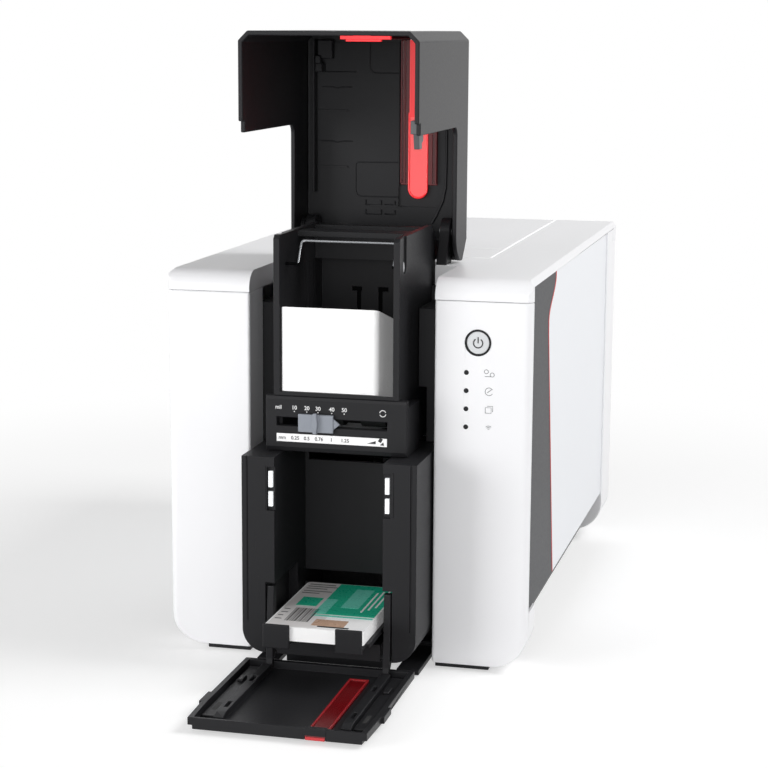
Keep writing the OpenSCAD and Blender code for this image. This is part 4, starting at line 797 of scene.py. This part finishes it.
@dataclass
class FeederCover:
    """The raised cover: panel lines inside it, the red window, its clips and hook."""

    wall_y: float = 84.2
    window_x: float = 20.3
    slot_half: float = 5.3
    window_end: float = 257.0

    def build(self) -> None:
        """Adds what shows inside the raised cover."""
        trim = Trim("feeder_cover", "black_plastic")
        y = self.wall_y - 0.1
        rows = {
            "liner_line_top": [(-8.4, y, 339.0), (-8.4, y, 325.6), (-7.6, y, 323.4), (-5.5, y, 322.1), (8.8, y, 322.1)],
            "liner_line_left": [(-36.5, y, 322.6), (-16.4, y, 322.6)],
            "liner_wave_high": [(-36.6, y, 314), (-30, y, 314), (-28, y, 313.2), (-25, y, 314), (-18.9, y, 314)],
            "liner_wave_low": [(-37.4, y, 283.1), (-30, y, 283.1), (-28, y, 282.3), (-25, y, 283.1), (-18.8, y, 283.1)],
            "liner_frame": [(8.6, y, 271.6), (-15.6, y, 271.2), (-16.7, y, 270.2), (-16.7, y, 255.2), (-15.8, y, 252.6),
                            (-13.6, y, 251.7), (8.6, y, 251.7)],
            "liner_edge": [(9.0, y, 340), (9.0, y, 258)],
            "liner_seam": [(36.7, y, 296), (36.7, y, 272.5), (36.4, y, 257.9), (34.9, y, 250.2), (31.1, y, 241.8),
                           (28.5, y, 237.2)],
        }
        for name, path in rows.items():
            trim.line(name, BLACK_ABS, [path], 0.8 if name == "liner_seam" else 0.35)
        # Two clips that hold the window's plate, low in the cover.
        for i, z in enumerate((243.0, 248.4)):
            trim.line(f"liner_clip_{i}", BLACK_ABS, [[(-10.7, y, z + 1.4), (-10.7, y, z - 1.4), (-1.5, y, z - 1.4), (-1.5, y, z + 1.4)],
                                                     [(0.5, y, z - 1.2), (6.6, y, z - 1.2), (6.6, y, z + 1.2)]], 0.5)
        trim.block("liner_rib", BLACK_ABS, (-41.2, -39.6), (77.5, self.wall_y + 0.2), (254, 340.8), 0.4)
        trim.block("hook_base", BLACK_ABS, (-38.4, -29.5), (79.0, self.wall_y), (330.0, 340.6), 0.6)
        trim.block("hook_nose", BLACK_ABS, (-39.3, -35.8), (76.4, 79.4), (326.4, 332.0), 0.7)
        trim.block("hook_foot", BLACK_ABS, (-39.0, -34.8), (76.0, self.wall_y), (322.6, 327.6), 0.6)
        self.window()

    def window(self) -> None:
        """Builds the red window's plate, its lit lens and the clip at its upper end."""
        trim = Trim("feeder_cover", "red_clear")
        x0, x1 = self.window_x - self.slot_half - 5, self.window_x + self.slot_half + 6
        y = self.wall_y
        trim.block("window_plate", RED_POLYCARBONATE, (x0, x1), (y - 0.6, y + 1.2), (259.0, 341.0), 0.3)
        for i, x in enumerate((x0 + 0.6, x0 + 2.6, x1 - 0.6, x1 - 3.0)):
            trim.block(f"window_rib_{i}", RED_POLYCARBONATE, (x - 0.45, x + 0.45), (y - 2.4, y - 0.4), (260.0, 340.6), 0.2)
        centre, half = self.window_x, self.slot_half
        low = [(p[0], y - 0.9, p[2]) for p in arc(centre, 0, self.window_end, half, 180, 360)]
        outline = [(centre + half, y - 0.9, 341.0), (centre - half, y - 0.9, 341.0)] + low
        lens = trim.profile("window_lens", LIT_POLYCARBONATE, outline, (0, 2.0, 0), 0.2)
        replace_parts(lens, "cover_window")
        rim = [(centre - half, y - 1.0, 300.0)] + low_rim(centre, y - 1.0, self.window_end, half) + [(centre + half, y - 1.0, 300.0)]
        trim.line("window_rim", LIT_RIM_POLYCARBONATE, [rim], 0.55)
        # The window runs on over the edge into the wall that is the cover's front when it is shut.
        corner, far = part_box("cover_window")
        near, top = (corner.y - FRONT_Y) / MM, far.z / MM
        trim.block("window_front", RED_POLYCARBONATE, (centre - half + 0.1, centre + half - 0.1), (near, y + 1.5),
                   (top - 2.5, top - 0.05), 0.2)
        trim.block("window_flange", RED_POLYCARBONATE, (x0, x1), (near - 2, y - 0.5), (top - 3.9, top - 2.45), 0.2)
        # Above the catch the lens is seen through the plate, in a deeper red: a glowing sheet of painted light.
        trim.block("window_lens_glow", LIT_RIM_POLYCARBONATE, (centre - half + 0.4, centre + half - 0.4), (y - 1.3, y - 0.95),
                   (297.5, 340.8), 0.1)
        for name, x, z in (("bar", (6.5, 33.0), (341.9, 343.7)), ("foot", (9.5, 28.0), (340.8, 342.0)),
                           ("head", (13.2, 22.8), (343.4, 345.9))):
            trim.block(f"window_clip_{name}", LIT_RIM_POLYCARBONATE, x, (-36.6, -33.6), z, 0.3)


def low_rim(x: float, y: float, z: float, half: float) -> list[Point]:
    """The half circle at the window's lower end, from left to right."""
    return [(p[0], y, p[2]) for p in arc(x, 0, z, half, 180, 360)]


@dataclass
class OutputBay:
    """Fittings of the hopper's mouth and the flap."""

    front: float = -35.0

    def build(self) -> None:
        """Adds grooves, clips and ribs."""
        trim = Trim("printer", "black_plastic")
        y = self.front
        deep = y + 0.2
        bead = [(-45.6, deep, 119), *arc(-35.4, deep, 25.4, 10.2, 180, 270, 8),
                *arc(35.4, deep, 25.4, 10.2, 270, 360, 8), (45.6, deep, 119)]
        trim.line("hopper_bead", BLACK_ABS, [bead], 0.25)
        for side, name in ((-1, "left"), (1, "right")):
            trim.block(f"pipe_surround_{name}", BLACK_ABS, sorted((side * 34.6, side * 35.8)), (y - 0.4, y + 1.5), (92.4, 116.6), 0.2)
        # Low black blocks under the hopper hide the floor where shade falls: partly the printer's dark underside,
        # partly painted shade.
        trim.block("hopper_shade_sill", BLACK_ABS, (-33.5, 33.5), (-36.0, -17.0), (0.4, 3.0), 0.3)
        for side, name in ((-1, "left"), (1, "right")):
            trim.block(f"hopper_shade_skirt_{name}", BLACK_ABS, sorted((side * 33.5, side * 46.0)), (-16.5, 30.0), (0.4, 3.2), 0.3)
        flap = Trim("output_flap", "dark_plastic")
        for side, name in ((-1, "left"), (1, "right")):
            flap.block(f"flap_ledge_{name}", CHARCOAL_ABS, sorted((side * 36.4, side * 43.2)), (-119, -38), (3.8, 5.4), 0.4)
            flap.block(f"flap_clip_{name}", CHARCOAL_ABS, sorted((side * 38.4, side * 41.6)), (-66, -58), (5.2, 7.0), 0.5)
            flap.block(f"flap_slot_{name}", BLACK_RUBBER, sorted((side * 38.6, side * 40.8)), (-110, -99), (5.2, 5.5), 0.05)
        flap.block("flap_lip", CHARCOAL_ABS, (14.4, 25.6), (-131.3, -127.8), (4.2, 8.1), 0.3)
        strip = Trim("output_flap", "red_clear")
        for i, x in enumerate((15.2, 24.8)):
            strip.block(f"flap_strip_edge_{i}", DIM_POLYCARBONATE, (x - 0.5, x + 0.5), (-127.5, -44.5), (4.3, 5.4), 0.15)
        strip.block("flap_strip_end", DIM_POLYCARBONATE, (15.2, 24.8), (-46.0, -44.5), (4.3, 5.3), 0.15)
        strip.block("flap_strip_accent", ACCENT_POLYCARBONATE, (15.0, 25.0), (-131.4, -130.2), (1.9, 3.6), 0.3)


class Studio:
    """The floor, the lights, the world and the camera."""

    FOCAL = 92.92
    YAW, PITCH, ROLL = 0.2428, 0.1794, 0.0058
    EYE = (275.6, -1025.5, 349.4)

    def camera(self) -> None:
        """Sets the camera at the photograph's place and angle."""
        forward = Vector((-math.sin(self.YAW) * math.cos(self.PITCH), math.cos(self.YAW) * math.cos(self.PITCH),
                          -math.sin(self.PITCH)))
        right = Vector((math.cos(self.YAW), math.sin(self.YAW), 0))
        up = right.cross(forward)
        side = math.cos(self.ROLL) * right + math.sin(self.ROLL) * up
        top = -math.sin(self.ROLL) * right + math.cos(self.ROLL) * up
        bpy.ops.object.camera_add()
        eye = bpy.context.object
        eye.name = "photo_camera"
        eye.data.lens = self.FOCAL
        eye.data.sensor_width = 36
        eye.data.clip_end = 50
        place = at(*self.EYE)
        eye.matrix_world = Matrix([(side[i], top[i], -forward[i], place[i]) for i in range(3)] + [(0, 0, 0, 1)])
        bpy.context.scene.camera = eye

    def floor(self) -> None:
        """Lays a pale floor that keeps the object's shadow."""
        bpy.ops.mesh.primitive_plane_add(size=12, location=(0, 0, -0.0002))
        floor = bpy.context.object
        floor.name = "studio_floor"
        paint = bpy.data.materials.new("studio_floor_paint")
        paint.use_nodes = True
        paint.node_tree.nodes.clear()
        path = add_node(paint, "ShaderNodeLightPath")
        flat = add_node(paint, "ShaderNodeBsdfDiffuse", {"Color": linear("F4F4F4")})
        shade = add_node(paint, "ShaderNodeBsdfDiffuse", {"Color": linear("CCCCCC")})
        lift = add_node(paint, "ShaderNodeEmission", {"Color": (1, 1, 1, 1), "Strength": 0.5})
        rays = add_node(paint, "ShaderNodeMath", {0: path.outputs["Is Camera Ray"], 1: path.outputs["Is Glossy Ray"]},
                        operation="MAXIMUM")
        rays = add_node(paint, "ShaderNodeMath", {0: rays.outputs[0], 1: path.outputs["Is Transmission Ray"]},
                        operation="MAXIMUM")
        near = add_node(paint, "ShaderNodeAddShader", {0: shade.outputs[0], 1: lift.outputs[0]})
        white = add_node(paint, "ShaderNodeEmission", {"Color": (1, 1, 1, 1), "Strength": 1.0})
        place = add_node(paint, "ShaderNodeTexCoord")
        away = add_node(paint, "ShaderNodeVectorMath", {0: place.outputs["Object"]}, operation="LENGTH")
        fade = add_node(paint, "ShaderNodeMapRange", {"Value": away.outputs["Value"], "From Min": 0.3, "From Max": 0.75},
                        interpolation_type="SMOOTHSTEP")
        seen = add_node(paint, "ShaderNodeMixShader", {0: fade.outputs[0], 1: near.outputs[0], 2: white.outputs[0]})
        mix = add_node(paint, "ShaderNodeMixShader", {0: rays.outputs[0], 1: flat.outputs[0], 2: seen.outputs[0]})
        add_node(paint, "ShaderNodeOutputMaterial", {"Surface": mix.outputs[0]})
        floor.data.materials.append(paint)

    def lamp(self, name: str, place: Point, aim: Point, size: float, power: float) -> None:
        """Adds a square soft box in metres that looks at a point."""
        bpy.ops.object.light_add(type="AREA", location=place)
        lamp = bpy.context.object
        lamp.name = name
        lamp.data.shape = "SQUARE"
        lamp.data.size = size
        lamp.data.energy = power
        lamp.rotation_euler = (Vector(aim) - Vector(place)).to_track_quat("-Z", "Y").to_euler()

    def world(self) -> None:
        """Makes the background white to the camera and soft grey as light."""
        world = bpy.data.worlds.new("studio_world")
        world.use_nodes = True
        world.node_tree.nodes.clear()
        bpy.context.scene.world = world
        path = add_node(world, "ShaderNodeLightPath")
        rays = add_node(world, "ShaderNodeMath", {0: path.outputs["Is Camera Ray"], 1: path.outputs["Is Glossy Ray"]},
                        operation="MAXIMUM")
        rays = add_node(world, "ShaderNodeMath", {0: rays.outputs[0], 1: path.outputs["Is Transmission Ray"]},
                        operation="MAXIMUM")
        level = add_node(world, "ShaderNodeMapRange", {"Value": rays.outputs[0], "To Min": 0.25, "To Max": 1.0})
        sky = add_node(world, "ShaderNodeBackground", {"Color": (1, 1, 1, 1), "Strength": level.outputs[0]})
        add_node(world, "ShaderNodeOutputWorld", {"Surface": sky.outputs[0]})

    def build(self) -> None:
        """Sets up the studio."""
        self.camera()
        self.floor()
        self.world()
        self.lamp("soft_box_right", (1.45, 0.15, 1.55), (0.1, 0, 0.2), 0.8, 24.5)
        self.lamp("soft_box_left", (-1.1, -1.2, 0.4), (0, 0, 0.2), 0.8, 12.8)
        self.lamp("soft_box_front", (0.15, -1.5, 0.4), (0, 0, 0.2), 0.6, 6)
        bpy.context.scene.view_settings.view_transform = "Standard"


def main() -> None:
    """Builds the studio and each sub-assembly in order."""
    logging.basicConfig(level=logging.INFO, format="%(name)s: %(message)s")
    for part in (Studio(), Carcass(), Feeder(), Controls(), Gauge(), CardPile(), FeederCover(), OutputBay()):
        LOG.info("building %s", type(part).__name__)
        part.build()


if __name__ == "__main__":
    main()
